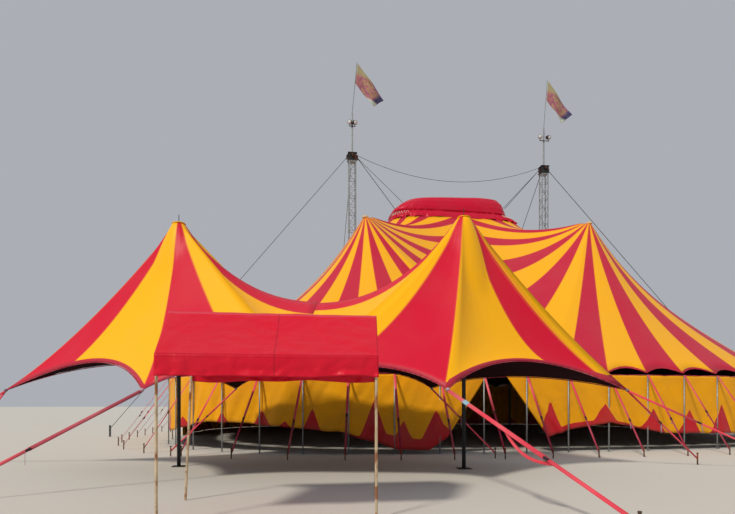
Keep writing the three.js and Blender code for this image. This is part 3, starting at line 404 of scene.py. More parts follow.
columns = [i / COLUMNS_PER_GORE for i in range(GORES * COLUMNS_PER_GORE + 1)]
corners = [(0, HEM_SIDES[1]), (HEM_SIDES[0], 0), (0, CUPOLA_SIDES[1]), (CUPOLA_SIDES[0], 0)]
for dx, dy in ((1, 0), (1, 1), (-1, 1), (-1, 0)):
    corners.append((PEAK.x + dx * MAST_HOLE, dy * MAST_HOLE))
for corner in corners:
    turn = turn_of(Vector(corner) - PEAK)
    turn += 2 * math.pi if turn < first_turn else 0
    columns.append(gore_of(turn))
columns = sorted(columns)
columns = [c for i, c in enumerate(columns) if i == 0 or c - columns[i - 1] > 0.004]


def radius_facts(gore):
    """Direction, full length, shown length and border of one radius."""
    way = gore_way(gore)
    length = reach_of(way)
    end = PEAK + way * length
    cut, lean = 0, 0
    if inside(end, HEM_SIDES, HEM_POWER) > 0.9999:
        nearest = min(range(len(hem_points)), key=lambda i: (hem_points[i] - end).length_squared)
        share = (hem_arcs[nearest] / BAY + 0.5) % 1
        lean = outward(end, HEM_SIDES, HEM_POWER).dot(way)
        cut = SCALLOP * 4 * share * (1 - share) / lean
    return way, length, length - cut, border_of(end, way), lean


radii = [radius_facts(gore) for gore in columns]
openings = [gore_opening(gore) for gore in columns]


print(len(radii), "radii a peak, the longest", round(max(r[1] for r in radii), 2), "m")

# %% [markdown]
# Every sheet of cloth is made in the same steps: a grid is placed point by point, its parts are
# welded, its faces are turned to the sky, and a modifier gives it its thickness. Then it rides on
# the tent and stands for the plainer CAD nodes.

# %% How a sheet is made


def new_sheet():
    """An empty sheet with a UV map named cloth, and a seam attribute on its points."""
    shape = bmesh.new()
    shape.loops.layers.uv.new("cloth")
    shape.verts.layers.float.new("seam")
    return shape


def drape(columns_count, rows_count, place):
    """A grid whose points are all placed: place(i, j) gives a position, its UV and its seam."""
    shape = new_sheet()
    bmesh.ops.create_grid(shape, x_segments=columns_count, y_segments=rows_count, size=0.5)
    uv = shape.loops.layers.uv["cloth"]
    seam = shape.verts.layers.float["seam"]
    for point in shape.verts:
        i = round((point.co.x + 0.5) * columns_count)
        j = round((point.co.y + 0.5) * rows_count)
        point.co, mark, point[seam] = place(i, j)
        for loop in point.link_loops:
            loop[uv].uv = mark
    return shape


def gather(whole, part):
    """Adds a draped part of a sheet to the whole."""
    spare = bpy.data.meshes.new("part")
    part.to_mesh(spare)
    part.free()
    whole.from_mesh(spare)
    bpy.data.meshes.remove(spare)


def upward(shape):
    """Welds a sheet's parts and turns its faces to the sky."""
    bmesh.ops.remove_doubles(shape, verts=shape.verts, dist=0.002)
    bmesh.ops.recalc_face_normals(shape, faces=shape.faces)
    if sum(face.normal.z * face.calc_area() for face in shape.faces) < 0:
        bmesh.ops.reverse_faces(shape, faces=shape.faces)


def shell(thing, thickness, inner=None):
    """Gives a sheet its thickness, below it, with a second material on the inner side if one is named.
    """
    made = thing.modifiers.new("thickness", "SOLIDIFY")
    made.thickness = thickness
    made.offset = -1
    if inner:
        thing.data.materials.append(inner)
        made.material_offset = 1
    return thing


def wear(thing, slot, *nodes):
    """Rides a finished piece on the tent and stands it for CAD nodes; its slot argument is not used."""
    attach(thing, "root")
    if nodes:
        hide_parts(*nodes)
    print(thing.name, len(thing.data.polygons), "faces")


# %% The canopy as one sheet
canopy = new_sheet()
for side_x, side_y in QUARTERS:

    def canopy_point(i, j):
        way, length, shown, border, lean = radii[i]
        share = (j / ROWS) ** 1.4
        distance = 0.04 + (shown - 0.04) * share
        height = membrane(distance, length, PEAK_HEIGHT[side_x], border, hollow_of(border, way))
        # Near the pole the cloth stays under the cap.
        tall = height - (PEAK_HEIGHT[side_x] - 0.1 - 0.3 * distance)
        height -= max(0, tall) * max(0, 1 - distance / 0.4)
        part = columns[i] % 1
        width = distance * openings[i]
        height += BILLOW * width * 4 * part * (1 - part) * (1 - share**4)
        plan = PEAK + way * distance
        mark = (columns[i], (shown - distance) * lean if lean else 3 + distance)
        return at(side_x * plan.x, side_y * plan.y, height), mark, min(part, 1 - part) * width

    gather(canopy, drape(len(columns) - 1, ROWS, canopy_point))
upward(canopy)
big_top = shell(keep("big_top_canopy", canopy, big_top_cloth), 0.008, painted_underside_shade)
canopy_nodes = [n for n in frame["nodes"] if n.startswith("canopy_")]
wear(big_top, "stripes", *canopy_nodes)

# %% [markdown]
# The entrance tent is a smaller canopy on two peaks. Its border is a chain of arches between the
# corners, where straps pull it tight. Each half is again a fan of radii round its peak, and the
# two halves meet in a valley.

# %% The plan of the entrance tent
FOYER_CENTRE, FOYER_TURN = (-7.15, -12.56), math.radians(-12.6)
FOYER_PEAK_X, SADDLE = 3.4, 3.92
FOYER_APEX = {"left": 5.91, "right": 6.0}
CORNER_HEIGHT = {"front": 1.81, "side": 1.85, "back": 1.95}
CORNER_REACH = {"left": (2.9, 2.93), "right": (2.8, 2.93)}
SIDE_CORNER = {"left": (7.5, -0.35), "right": (7.2, 0.25)}
END_ARCH, FRONT_ARCH = (0.63, 0.6, 2), (0.48, 0.35, 4)
BACK_ARCH = {"left": END_ARCH, "right": (0.3, 0.6, 2)}
HOLLOW, TIP_HOLLOW = {"left": 2.21, "right": 2.24}, {"left": -0.5, "right": -0.34}
CORNER_FALL, ARCH_FALL = {"left": 0.6, "right": 0.86}, {"left": 0.87, "right": 0.5}
VALLEY_FALL = {"left": 1.32, "right": 0.95}
HANDS = {"left": -1, "right": 1}
ARCH_STEPS = 60


def in_foyer(x, y, z):
    """A point of the entrance tent, whose own x runs along its ridge."""
    turned = Matrix.Rotation(FOYER_TURN, 3, "Z") @ Vector((x, y, z))
    return at(turned.x + FOYER_CENTRE[0], turned.y + FOYER_CENTRE[1], turned.z)


def arch(start, end, shape, low=0.0, high=1.0):
    """An edge that rises and draws in between two corners."""
    rise, inset, power = shape
    inward = Vector((start.y - end.y, end.x - start.x, 0)).normalized()
    found = []
    for i in range(ARCH_STEPS + 1):
        share = low + (high - low) * i / ARCH_STEPS
        bow = 1 - abs(2 * share - 1) ** power
        found.append(start.lerp(end, share) + inward * inset * bow + Vector((0, 0, rise * bow)))
    return found


def foyer_border(side):
    """Border of one half, front middle to back middle, then back along the valley."""
    reach_x, reach_y = CORNER_REACH[side]
    front = Vector((reach_x, -reach_y, CORNER_HEIGHT["front"]))
    back = Vector((reach_x, reach_y, CORNER_HEIGHT["back"]))
    far_front, far_back = front * 1, back * 1
    far_front.x, far_back.x = -reach_x, -reach_x
    tip = Vector((*SIDE_CORNER[side], CORNER_HEIGHT["side"]))
    hem = arch(far_front, front, FRONT_ARCH, 0.5) + arch(front, tip, END_ARCH)[1:]
    hem += arch(tip, back, BACK_ARCH[side])[1:] + arch(back, far_back, FRONT_ARCH, 0, 0.5)[1:]
    valley = []
    for i in range(1, 80):
        share = 1 - i / 40
        edge = hem[-1] if share > 0 else hem[0]
        drop = (SADDLE - edge.z) * abs(share) ** 1.2
        valley.append(Vector((0, abs(share) * edge.y, SADDLE - drop)))
    return hem, valley


def hem_corners(hem):
    """Front corner, tip and back corner of a half."""
    return [hem[ARCH_STEPS * k] for k in (1, 2, 3)]


print("points of the border:", len(foyer_border("left")[0]))

# Seams of a half in degrees round its peak, from the ridge over the front and the tip to the back.
FOYER_SEAMS = {
    "left": [166.6, 193.4, 228.6, 260.3, 341, 355.1, 408.8, 459.7, 526.6],
    "right": [169.5, 190.5, 225.4, 257.4, 344.5, 362.1, 408.8, 461.6, 529.5],
}


# %% Radii of the entrance tent


def turn_about_peak(point, side):
    turn = math.degrees(math.atan2(point.y, point.x - FOYER_PEAK_X))
    return turn + 360 if turn < FOYER_SEAMS[side][0] else turn


def foyer_radii(side):
    """Every radius of one half: gore coordinate, plan direction, end and border slope."""
    hem, valley = foyer_border(side)
    seams = FOYER_SEAMS[side]
    ring = [(p, True) for p in hem] + [(p, False) for p in valley]
    spots = [(turn_about_peak(p, side), p, on_hem) for p, on_hem in ring]
    spots.sort(key=lambda spot: spot[0])
    spots = [(spots[-1][0] - 360, *spots[-1][1:])] + spots + [(spots[0][0] + 360, *spots[0][1:])]
    wanted = []
    for start, end in zip(seams, seams[1:]):
        count = max(4, round((end - start) / 4.5))
        wanted += [start + (end - start) * k / count for k in range(count)]
    wanted.append(seams[-1])
    marks = [hem[0], hem[-1], *hem_corners(hem)]
    wanted += [turn_about_peak(mark, side) for mark in marks]
    found = []
    for turn in sorted(wanted):
        k = bisect([s[0] for s in spots], turn)
        (low, a, hem_a), (high, b, hem_b) = spots[k - 1], spots[min(k, len(spots) - 1)]
        end = a.lerp(b, (turn - low) / max(high - low, 1e-6))
        index = min(bisect(seams, turn) - 1, len(seams) - 2)
        gore = index + (turn - seams[index]) / (seams[index + 1] - seams[index])
        found.append((gore, end, hem_a and hem_b, seams[index + 1] - seams[index]))
    return found, hem


def from_hem(point, hem):
    """Distance in plan from a point of the entrance tent to its nearest hem."""
    here = Vector((point.x, point.y))
    best = 9.0
    for a, b in zip(hem, hem[1:]):
        start, run = Vector((a.x, a.y)), Vector((b.x - a.x, b.y - a.y))
        share = min(1, max(0, (here - start).dot(run) / max(run.length_squared, 1e-9)))
        best = min(best, (here - start - run * share).length)
    return best


print("radii of the halves:", [len(foyer_radii(side)[0]) for side in HANDS])

# %% The entrance canopy as one sheet
FOYER_ROWS = 28
foyer = new_sheet()
for side, hand in HANDS.items():
    spokes, hem_line = foyer_radii(side)

    def foyer_point(i, j):
        gore, end, on_hem, opening = spokes[i]
        plan = Vector((end.x - FOYER_PEAK_X, end.y))
        length = plan.length
        way = plan.normalized()
        arched = max(0, end.z - CORNER_HEIGHT["front"]) / END_ARCH[0]
        hem_fall = CORNER_FALL[side] + (ARCH_FALL[side] - CORNER_FALL[side]) * arched
        valley_fall = VALLEY_FALL[side] * abs(end.y) / CORNER_REACH[side][1] * abs(way.y)
        slope = -hem_fall if on_hem else -valley_fall
        power = HOLLOW[side] + TIP_HOLLOW[side] * max(0, way.x)
        share = (j / FOYER_ROWS) ** 1.9
        distance = 0.02 + (length - 0.02) * share
        height = membrane(distance, length, FOYER_APEX[side], (end.z, slope), power)
        crown = 5.862 - 1.5 * max(0, distance - 0.1) ** 1.2
        near_crown = max(0, 1 - max(0, distance - 0.15) / 0.4)
        height = min(height, 5.845) if distance < 0.3 else height
        height += max(0, crown - height) * near_crown
        part = gore % 1
        width = distance * math.radians(opening)
        height += 0.02 * width * 4 * part * (1 - part) * (1 - share**4)
        plan = Vector((FOYER_PEAK_X, 0)) + way * distance
        place = in_foyer(hand * plan.x, plan.y, height)
        edge = from_hem(plan, hem_line) if share > 0.6 else 1.0
        return place, (gore, edge), min(part, 1 - part) * width

    gather(foyer, drape(len(spokes) - 1, FOYER_ROWS, foyer_point))
upward(foyer)
foyer_cloth = striped_cloth("PVC coated polyester, entrance", "#d01636", "#fdb80a", 0.065)
entrance = shell(keep("entrance_canopy", foyer, foyer_cloth), 0.008, painted_underside_shade)
foyer_nodes = [n for n in frame["nodes"] if n.startswith("foyer_canopy_")]
wear(entrance, "stripes", *foyer_nodes)

# %% [markdown]
# The cupola has a crimson cover of the same coated cloth. It is pulled over the frame above the
# ring, smooth on top, and its skirt is gathered below a crease.

# %% Plain coated cloth
COVER_DUST_MM = 909


def plain_cloth(name, code, gloss, crease_mm, depth):
    """PVC coated polyester in one colour, with soft creases."""
    material = plain(name, code, gloss)
    tree = material.node_tree
    shader = tree.nodes["Principled BSDF"]
    where = add(tree, "TexCoord").outputs["Object"]
    patches = add(tree, "TexNoise", {"Vector": where, "Scale": 1000 / COVER_DUST_MM, "Detail": 5})
    dust = add(tree, "MapRange", {0: patches.outputs[0], 1: 0.4, 2: 0.85, 3: 0.0, 4: 0.12}).outputs[0]
    cloth = add(tree, "Mix", {0: dust, 6: linear(code), 7: linear("#a35a55")}, data_type="RGBA")
    tree.links.new(cloth.outputs[2], shader.inputs["Base Color"])
    creases = add(tree, "TexNoise", {"Vector": where, "Scale": 1000 / crease_mm, "Detail": 4})
    relief = add(tree, "Bump", {"Height": creases.outputs[0], "Strength": 0.5, "Distance": depth})
    tree.links.new(relief.outputs[0], shader.inputs["Normal"])
    return material


crimson = plain_cloth("crimson PVC cover", "#c41436", 0.3, 300, 0.06)
print("crimson cloth:", len(crimson.node_tree.nodes), "nodes")

# %% Cupola cover
PROFILE = [  # half length, half depth and height, from the skirt's edge to the top
    (3.02, 1.52, 9.84), (2.99, 1.49, 9.93), (2.95, 1.45, 10.02), (2.9, 1.4, 10.1),
    (2.85, 1.35, 10.17), (2.87, 1.38, 10.22), (2.84, 1.36, 10.42), (2.73, 1.29, 10.66),
    (2.55, 1.16, 10.86), (2.3, 0.96, 10.96), (1.9, 0.6, 11.0), (1.4, 0.2, 11.01),
]
COVER_COLUMNS, COVER_ROWS = 288, 55


def on_cover(angle, place, swell=1.0):
    """A point of the cover; its right end is pulled in, and its upper left end slopes."""
    low = min(int(place), len(PROFILE) - 2)
    share = place - low
    length, depth, height = (a + (b - a) * share for a, b in zip(PROFILE[low], PROFILE[low + 1]))
    c, s = math.cos(angle), math.sin(angle)
    x = length * math.copysign(abs(c) ** 0.45, c) * swell
    y = depth * math.copysign(abs(s) ** 0.45, s) * swell
    raised = min(1, max(0, (height - 9.86) / 0.45))
    slope = min(1, max(0, (height - 10.3) / 0.55))
    pull = 0.4 * raised if c > 0 else 0.1 * raised - 0.28 * slope
    return at(x - pull * min(1, abs(c) * 4), y, height + 0.035 * slope * x)


def cover_point(i, j):
    angle = 2 * math.pi * i / COVER_COLUMNS
    place = j / COVER_ROWS * (len(PROFILE) - 1)
    gathered = max(0, 1 - place / 4)
    folds = math.sin(angle * 31 + 2 * math.sin(angle * 5)) + 0.8 * math.sin(angle * 53 + 1)
    near_crease = math.exp(-(((place - 4.1) / 0.7) ** 2))
    pocket = near_crease * (0.5 + 0.5 * math.sin(angle * 46 + math.sin(angle * 9)))
    lumps = noise.noise(Vector((math.cos(angle) * 7, math.sin(angle) * 7, place * 0.9)))
    swell = 1 + 0.016 * gathered * folds - 0.02 * pocket + 0.012 * lumps * min(1, place / 2)
    point = on_cover(angle, place, swell if place < 9 else 1.0)
    return point + Vector((0, 0, 0.03 * gathered * math.sin(angle * 22))), (i / 10, j / 10), 1.0


cover = drape(COVER_COLUMNS, COVER_ROWS, cover_point)
bmesh.ops.remove_doubles(cover, verts=cover.verts, dist=0.001)
top_edges = [e for e in cover.edges if e.is_boundary and e.verts[0].co.z > 10.9]
bmesh.ops.holes_fill(cover, edges=top_edges)
upward(cover)
cupola = shell(keep("cupola_cloth", cover, crimson), 0.008)
wear(cupola, "crimson_cover", "cupola_cover")

# %% [markdown]
# The side walls hang from the eave rope in loose upright folds. Their lower edge is pulled up at
# some places and lies lower near the doorway. Red triangles of many sizes stand on it, and near
# the doorway they stand on a glossy red skirt. Each point of the wall carries its distance below
# the red border line, so the border is drawn by one comparison in the material.

# %% Wall cloth
WALL_DUST_MM, WALL_CREASE_MM = 769, 333.3
EAVE, WALL_FOOT, BACK_WALL = 2.369, 0.35, 2.55
WALL_END = QUARTER_HEM - 0.005
DOOR_TOP, DOOR_FOOT = (-1.9, -1.35), (-3.15, 0.0)


def wall_cloth():
    """PVC coated polyester, yellow, with welded red triangles and a red skirt."""
    material = plain("yellow PVC side wall", "#f2a900", 0.45)
    tree = material.node_tree
    shader = tree.nodes["Principled BSDF"]
    where = add(tree, "TexCoord").outputs["Object"]
    below = add(tree, "Attribute", attribute_name="seam").outputs["Fac"]
    red = add(tree, "Math", {0: below, 1: 0.0}, operation="GREATER_THAN").outputs[0]
    patches = add(tree, "TexNoise", {"Vector": where, "Scale": 1000 / WALL_DUST_MM, "Detail": 5})
    dust = add(tree, "MapRange", {0: patches.outputs[0], 1: 0.35, 2: 0.8, 3: 0.0, 4: 0.25}).outputs[0]
    # Mud splashes darken the lowest hand's breadth.
    place = add(tree, "SeparateXYZ", {0: add(tree, "UVMap", uv_map="cloth").outputs[0]})
    mud = add(tree, "MapRange", {0: place.outputs["Y"], 1: 0.12, 2: 0.0, 3: 0.0, 4: 0.35}).outputs[0]
    cloth = linear("#f0a80c")
    for share, code in ((red, "#c2202f"), (dust, "#94683a"), (mud, "#5a4028")):
        cloth = add(tree, "Mix", {0: share, 6: cloth, 7: linear(code)}, data_type="RGBA").outputs[2]
    tree.links.new(cloth, shader.inputs["Base Color"])
    # The red pieces are glossier than the yellow ones.
    gloss = add(tree, "MapRange", {0: red, 1: 0.0, 2: 1.0, 3: 0.45, 4: 0.22})
    tree.links.new(gloss.outputs[0], shader.inputs["Roughness"])
    creases = add(tree, "TexNoise", {"Vector": where, "Scale": 1000 / WALL_CREASE_MM, "Detail": 4})
    relief = add(tree, "Bump", {"Height": creases.outputs[0], "Strength": 0.5, "Distance": 0.05})
    tree.links.new(relief.outputs[0], shader.inputs["Normal"])
    return material


yellow_wall = wall_cloth()
print("wall cloth:", len(yellow_wall.node_tree.nodes), "nodes")

# %% Lower edge and triangles of the walls
# Distance along the hem, height of the lower edge, and height of the red skirt there.
LOWER_EDGE = [
    (-14, 0.45, 0), (-10.9, 0.92, 0), (-9.4, 0.9, 0), (-8.1, 0.8, 0), (-6.4, 0.67, 0),
    (-5.8, 0.48, 0.06), (-5.2, 0.33, 0.26), (-4.6, 0.14, 0.34), (-3.7, 0.12, 0.3), (-3.1, 0.5, 0.2),
    (-0.2, 0.42, 0.1), (0.9, 0.72, 0.16), (2.1, 0.9, 0.12), (4, 0.55, 0), (15, 0.4, 0),
]
# Distance along the hem of each point, half the base, and height above the lower edge.
FRONT_TRIANGLES = [
    (-10.2, 0.25, 0.35), (-8.75, 0.3, 0.45), (-8.0, 0.15, 0.2), (-7.17, 0.27, 0.64),
    (-5.32, 0.45, 1.12), (-4.46, 0.4, 0.82), (-3.5, 0.6, 1.2), (0.1, 0.42, 0.9), (1.9, 0.45, 0.65),
]


def between(rows, place, column):
    """A value of a small table, taken straight between its rows."""
    k = min(max(bisect([row[0] for row in rows], place), 1), len(rows) - 1)
    low, high = rows[k - 1], rows[k]
    share = min(1, max(0, (place - low[0]) / (high[0] - low[0])))
    return low[column] + (high[column] - low[column]) * share


def more_triangles(start, end):
    """Triangles of mixed size along a part of the hem that stands far from the entrance."""
    found, place = [], start + 0.6
    while place < end - 0.4:
        half = dice.uniform(0.25, 0.55)
        found.append((place, half, half * dice.uniform(1.5, 2.2)))
        place += dice.uniform(1.1, 1.9)
    return found


print(len(FRONT_TRIANGLES), "triangles show beside the entrance")

# %% Side walls


def hang_wall(name, top_arcs, foot_arcs, depth_sign):
    """A wall between two arcs of the hem at its top, and two at its foot."""
    count, rows = round(abs(foot_arcs[1] - foot_arcs[0]) / 0.06), 26
    at_back = depth_sign > 0
    if at_back:
        triangles = more_triangles(-16, 16)
    else:
        triangles = FRONT_TRIANGLES + more_triangles(3, 16) + more_triangles(-16, -10.8)

    def wall_point(i, j):
        share, down = i / count, 1 - j / rows
        top = top_arcs[0] + (top_arcs[1] - top_arcs[0]) * share
        foot = foot_arcs[0] + (foot_arcs[1] - foot_arcs[0]) * share
        arc = top + (foot - top) * down
        plan = hem_at(max(-WALL_END, min(WALL_END, arc)))
        away = outward(plan, HEM_SIDES, HEM_POWER)
        wide = noise.noise(Vector((foot * 1.1, 4.2 * depth_sign, 0.4 * down)))
        narrow = noise.noise(Vector((foot * 3.7, 9.1, 0.6 * down)))
        fold = wide * (0.02 + 0.16 * down) + narrow * (0.012 + 0.05 * down)
        fold += 0.05 * down * max(0, 1 - abs(foot + 3.6) / 1.6)
        fold += 0.05 * down * max(0, 1 - abs(foot - 0.4) / 0.9) * math.sin(foot * 16)
        # The back walls are laced to the scalloped hem and reach down nearly to the ground.
        bay = (abs(arc) / BAY + 0.5) % 1
        bow = 4 * bay * (1 - bay)
        fold -= (SCALLOP * bow + 0.01) * max(0, 1 - 4 * down) * at_back
        plan = Vector((max(0.003, abs(plan.x) + away.x * fold), plan.y + away.y * fold))
        raised = (0.075 + 0.165 * bow) * at_back
        low = between(LOWER_EDGE, foot, 1) + 0.03 * noise.noise(Vector((foot * 2, 1, 5)))
        low = 0.012 if at_back else max(0.06, low)
        height = EAVE + raised + (low - EAVE - raised) * down
        border = between(LOWER_EDGE, arc * -depth_sign, 2)
        for centre, half, tall in triangles:
            border = max(border, tall * (1 - abs(arc - centre) / half))
        above = (EAVE - low) * (1 - down)
        side = math.copysign(1, arc)
        return at(side * plan.x, depth_sign * plan.y, height), (arc, above), border - above

    cloth = drape(count, rows, wall_point)
    bmesh.ops.recalc_face_normals(cloth, faces=cloth.faces)
    wall = shell(keep(name, cloth, yellow_wall), 0.005)
    wall.modifiers[-1].offset = 0
    wear(wall, "wall_cloth", name.replace("cloth", "wall"))


hang_wall("cloth_front_left", (-WALL_END, DOOR_TOP[0]), (-WALL_END, DOOR_FOOT[0]), -1)
hang_wall("cloth_front_right", (DOOR_TOP[1], WALL_END), (DOOR_FOOT[1], WALL_END), -1)
hang_wall("cloth_back_left", (-WALL_END, -0.005), (-WALL_END, -0.005), 1)
hang_wall("cloth_back_right", (0.005, WALL_END), (0.005, WALL_END), 1)

# %% [markdown]
# A small gabled awning of thin red tarpaulin stands in front. It is sewn from two widths, sags a
# little between its poles, and its valance hangs straight down.

# %% Red tarpaulin


def tarpaulin():
    """Light PVC tarpaulin, red, with a seam across its middle, stitched folds at the eaves and a painted
    highlight along its ridge.
    """
    material = plain_cloth("red tarpaulin", "#d5122f", 0.36, 240, 0.05)
    tree = material.node_tree
    colour = tree.nodes["Principled BSDF"].inputs["Base Color"]
    base = colour.links[0].from_socket
    place = add(tree, "SeparateXYZ", {0: add(tree, "UVMap", uv_map="cloth").outputs[0]})
    along, round_it = place.outputs["X"], place.outputs["Y"]
    # A band is a distance from a line in the UV map that stays under a width.
    bands = (
        (along, 0.52, 0.003, 0.5, "#8e1526"), (round_it, 0.185, 0.004, 0.45, "#8e1526"),
        (round_it, 0.165, 0.003, 0.35, "#8e1526"), (round_it, 0.815, 0.004, 0.45, "#8e1526"),
        # The pale pink band on the ridge is a painted highlight.
        (round_it, 0.5, 0.016, 0.3, "#e4657a"),
    )
    for axis, line, width, share, code in bands:
        off = add(tree, "Math", {0: axis, 1: line}, operation="SUBTRACT").outputs[0]
        away = add(tree, "Math", {0: off}, operation="ABSOLUTE").outputs[0]
        near = add(tree, "Math", {0: away, 1: width}, operation="LESS_THAN").outputs[0]
        part = add(tree, "Math", {0: near, 1: share}, operation="MULTIPLY").outputs[0]
        base = add(tree, "Mix", {0: part, 6: base, 7: linear(code)}, data_type="RGBA").outputs[2]
    tree.links.new(base, colour)
    return material


red_tarpaulin = tarpaulin()
print("red tarpaulin:", len(red_tarpaulin.node_tree.nodes), "nodes")

# %% Awning cover
AWNING_ENDS = {"front": (-9.615, -6.77), "ridge": (-9.61, -6.635), "back": (-9.455, -6.47)}
AWNING_Y = (-18.36, -16.55)
AWNING_EAVE, AWNING_RIDGE, VALANCE = 2.17, 2.86, 0.265
AWNING_COLUMNS, AWNING_ROWS = 110, 72


def awning_point(i, j):
    along, round_it = i / AWNING_COLUMNS, j / AWNING_ROWS
    front, back = AWNING_Y[0] - 0.028, AWNING_Y[1] + 0.028
    foot, eave = AWNING_EAVE - VALANCE, AWNING_EAVE + 0.012
    stops = [  # share round the awning, its ends there, depth and height
        (0.0, "front", front, foot), (0.18, "front", front, eave),
        (0.5, "ridge", (front + back) / 2, AWNING_RIDGE + 0.016),
        (0.82, "back", back, eave), (1.0, "back", back, foot),
    ]
    k = min(sum(round_it > s[0] for s in stops[1:]), len(stops) - 2)
    (low, low_end, y, z), (high, high_end, next_y, next_z) = stops[k], stops[k + 1]
    share = (round_it - low) / (high - low)
    left, right = (
        AWNING_ENDS[low_end][end] * (1 - share) + AWNING_ENDS[high_end][end] * share for end in (0, 1)
    )
    x = left - 0.024 + (right - left + 0.048) * along
    y += (next_y - y) * share
    z += (next_z - z) * share
    if k in (1, 2):
        z -= 0.035 * math.sin(math.pi * share) * math.sin(math.pi * along)
        z += 0.009 * noise.noise(Vector((along * 9, round_it * 26, 3)))
    else:
        hanging = 1 - share if k == 0 else share
        wave = noise.noise(Vector((along * 13, hanging * 1.5, k)))
        y += (1 if k else -1) * hanging * (0.004 + 0.05 * abs(wave)) + 0.02 * hanging * wave
        z -= 0.035 * hanging * noise.noise(Vector((along * 4, 8, k)))
    return at(x, y, z), (along, round_it), 1.0


awning = drape(AWNING_COLUMNS, AWNING_ROWS, awning_point)
upward(awning)
awning_cloth = shell(keep("awning_tarpaulin", awning, red_tarpaulin), 0.004)
wear(awning_cloth, "red_tarp", "awning_cover")

# %% [markdown]
# Two flags fly from the pole tips. Their artwork is a plain arrangement of coloured fields.

# %% Printed flag cloth
PRINT_MM = 277.8


def flag_cloth():
    """Thin knitted polyester, printed with soft fields of colour."""
    material = plain("printed flag polyester", "#a39a62", 0.8)
    tree = material.node_tree
    uv = add(tree, "UVMap", uv_map="cloth").outputs[0]
    size = {"Vector": uv, "Scale": 1000 / PRINT_MM, "Detail": 3, "Distortion": 1.2}
    blots = add(tree, "TexNoise", size)
    print_colours = add(tree, "ValToRGB", {0: blots.outputs[0]})
    stops = [
        ("#4a5590", 0.0), ("#8f5f73", 0.38), ("#b3727a", 0.47), ("#a8966a", 0.55), ("#8f6a5c", 0.64),
    ]
    for _, place in stops[2:]:
        print_colours.color_ramp.elements.new(place)
    for stop, (code, place) in zip(print_colours.color_ramp.elements, stops):
        stop.position = place
        stop.color = linear(code)
    place = add(tree, "SeparateXYZ", {0: uv})
    out, up = place.outputs["X"], place.outputs["Y"]
    # A khaki field at the hoist's top, a dark blue fly and a pale corner below.
    at_hoist = add(tree, "Math", {0: up, 1: out}, operation="SUBTRACT").outputs[0]
    at_foot = add(tree, "Math", {0: out, 1: up}, operation="SUBTRACT").outputs[0]
    base = print_colours.outputs[0]
    fields = (
        (at_hoist, 0.42, 0.62, "#a5a07c"), (out, 0.8, 0.9, "#2f3a66"), (at_foot, 0.55, 0.72, "#c9d6c6"),
    )
    for axis, start, end, code in fields:
        part = add(tree, "MapRange", {0: axis, 1: start, 2: end, 3: 0.0, 4: 0.9}).outputs[0]
        base = add(tree, "Mix", {0: part, 6: base, 7: linear(code)}, data_type="RGBA").outputs[2]
    tree.links.new(base, tree.nodes["Principled BSDF"].inputs["Base Color"])
    return material


printed = flag_cloth()
print("flag cloth:", len(printed.node_tree.nodes), "nodes")

# %% Flags
# Length of the hoist, and how the top and the lower edge run from it.
FLAG_HOIST, TOP_EDGE, LOW_EDGE = 0.95, (1.25, -1.57), (0.85, -1.02)
FLAG_COLUMNS, FLAG_ROWS = 36, 24
for side, hand in HANDS.items():
    low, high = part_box(f"flag_{side}")
    hoist_top = Vector((low.x + 0.11, (low.y + high.y) / 2, high.z))
    lean = Vector((0.12 if side == "left" else 0.1, 0, 1)).normalized()

    def flag_point(i, j):
        out, up = i / FLAG_COLUMNS, j / FLAG_ROWS
        top = hoist_top + Vector((TOP_EDGE[0], 0, TOP_EDGE[1])) * out
        foot = hoist_top - lean * FLAG_HOIST + Vector((LOW_EDGE[0], 0, LOW_EDGE[1])) * out
        point = foot.lerp(top, up)
        point.y += 0.09 * out * math.sin(out * 7 + up * 2.5 + hand) + 0.04 * out * math.sin(up * 8)
        return point, (out, up), 1.0

    flag = drape(FLAG_COLUMNS, FLAG_ROWS, flag_point)
    bmesh.ops.recalc_face_normals(flag, faces=flag.faces)
    cloth = shell(keep(f"flag_cloth_{side}", flag, printed), 0.003)
    wear(cloth, "flag_cloth", f"flag_{side}")

# %% [markdown]
# Steel, rope and webbing. Poles and masts are hot dip galvanised, so they are dull and mottled.
# The webbing is polyester with a fine rib across it, and it fades to pink.

# %% Metal and webbing
# The mottling of the zinc and the ribs of the webbing are too fine to show from here, so both are
# drawn coarser than they are.
RUST_MM, BLEACH_MM, RIB_MM = 170, 900, 7.9


def metal(name, code, roughness, metallic, grain_mm, rust=0.0):
    """Metal with a mottled surface, and rust in patches if a share is given."""
    material = plain(name, code, roughness)
    tree = material.node_tree
    shader = tree.nodes["Principled BSDF"]
    shader.inputs["Metallic"].default_value = metallic
    where = add(tree, "TexCoord").outputs["Object"]
    grain = add(tree, "TexNoise", {"Vector": where, "Scale": 1000 / grain_mm, "Detail": 4})
    tone = add(tree, "MapRange", {0: grain.outputs[0], 1: 0.3, 2: 0.7, 3: 0.75, 4: 1.15}).outputs[0]
    mottled = add(tree, "VectorMath", {0: linear(code)[:3], "Scale": tone}, operation="SCALE").outputs[0]
    blooms = add(tree, "TexNoise", {"Vector": where, "Scale": 1000 / RUST_MM, "Detail": 6})
    rusty = add(tree, "MapRange", {0: blooms.outputs[0], 1: 0.5, 2: 0.6, 3: 0.0, 4: rust}).outputs[0]
    worn = add(tree, "Mix", {0: rusty, 6: mottled, 7: linear("#8a4b26")}, data_type="RGBA").outputs[2]
    tree.links.new(worn, shader.inputs["Base Color"])
    return material


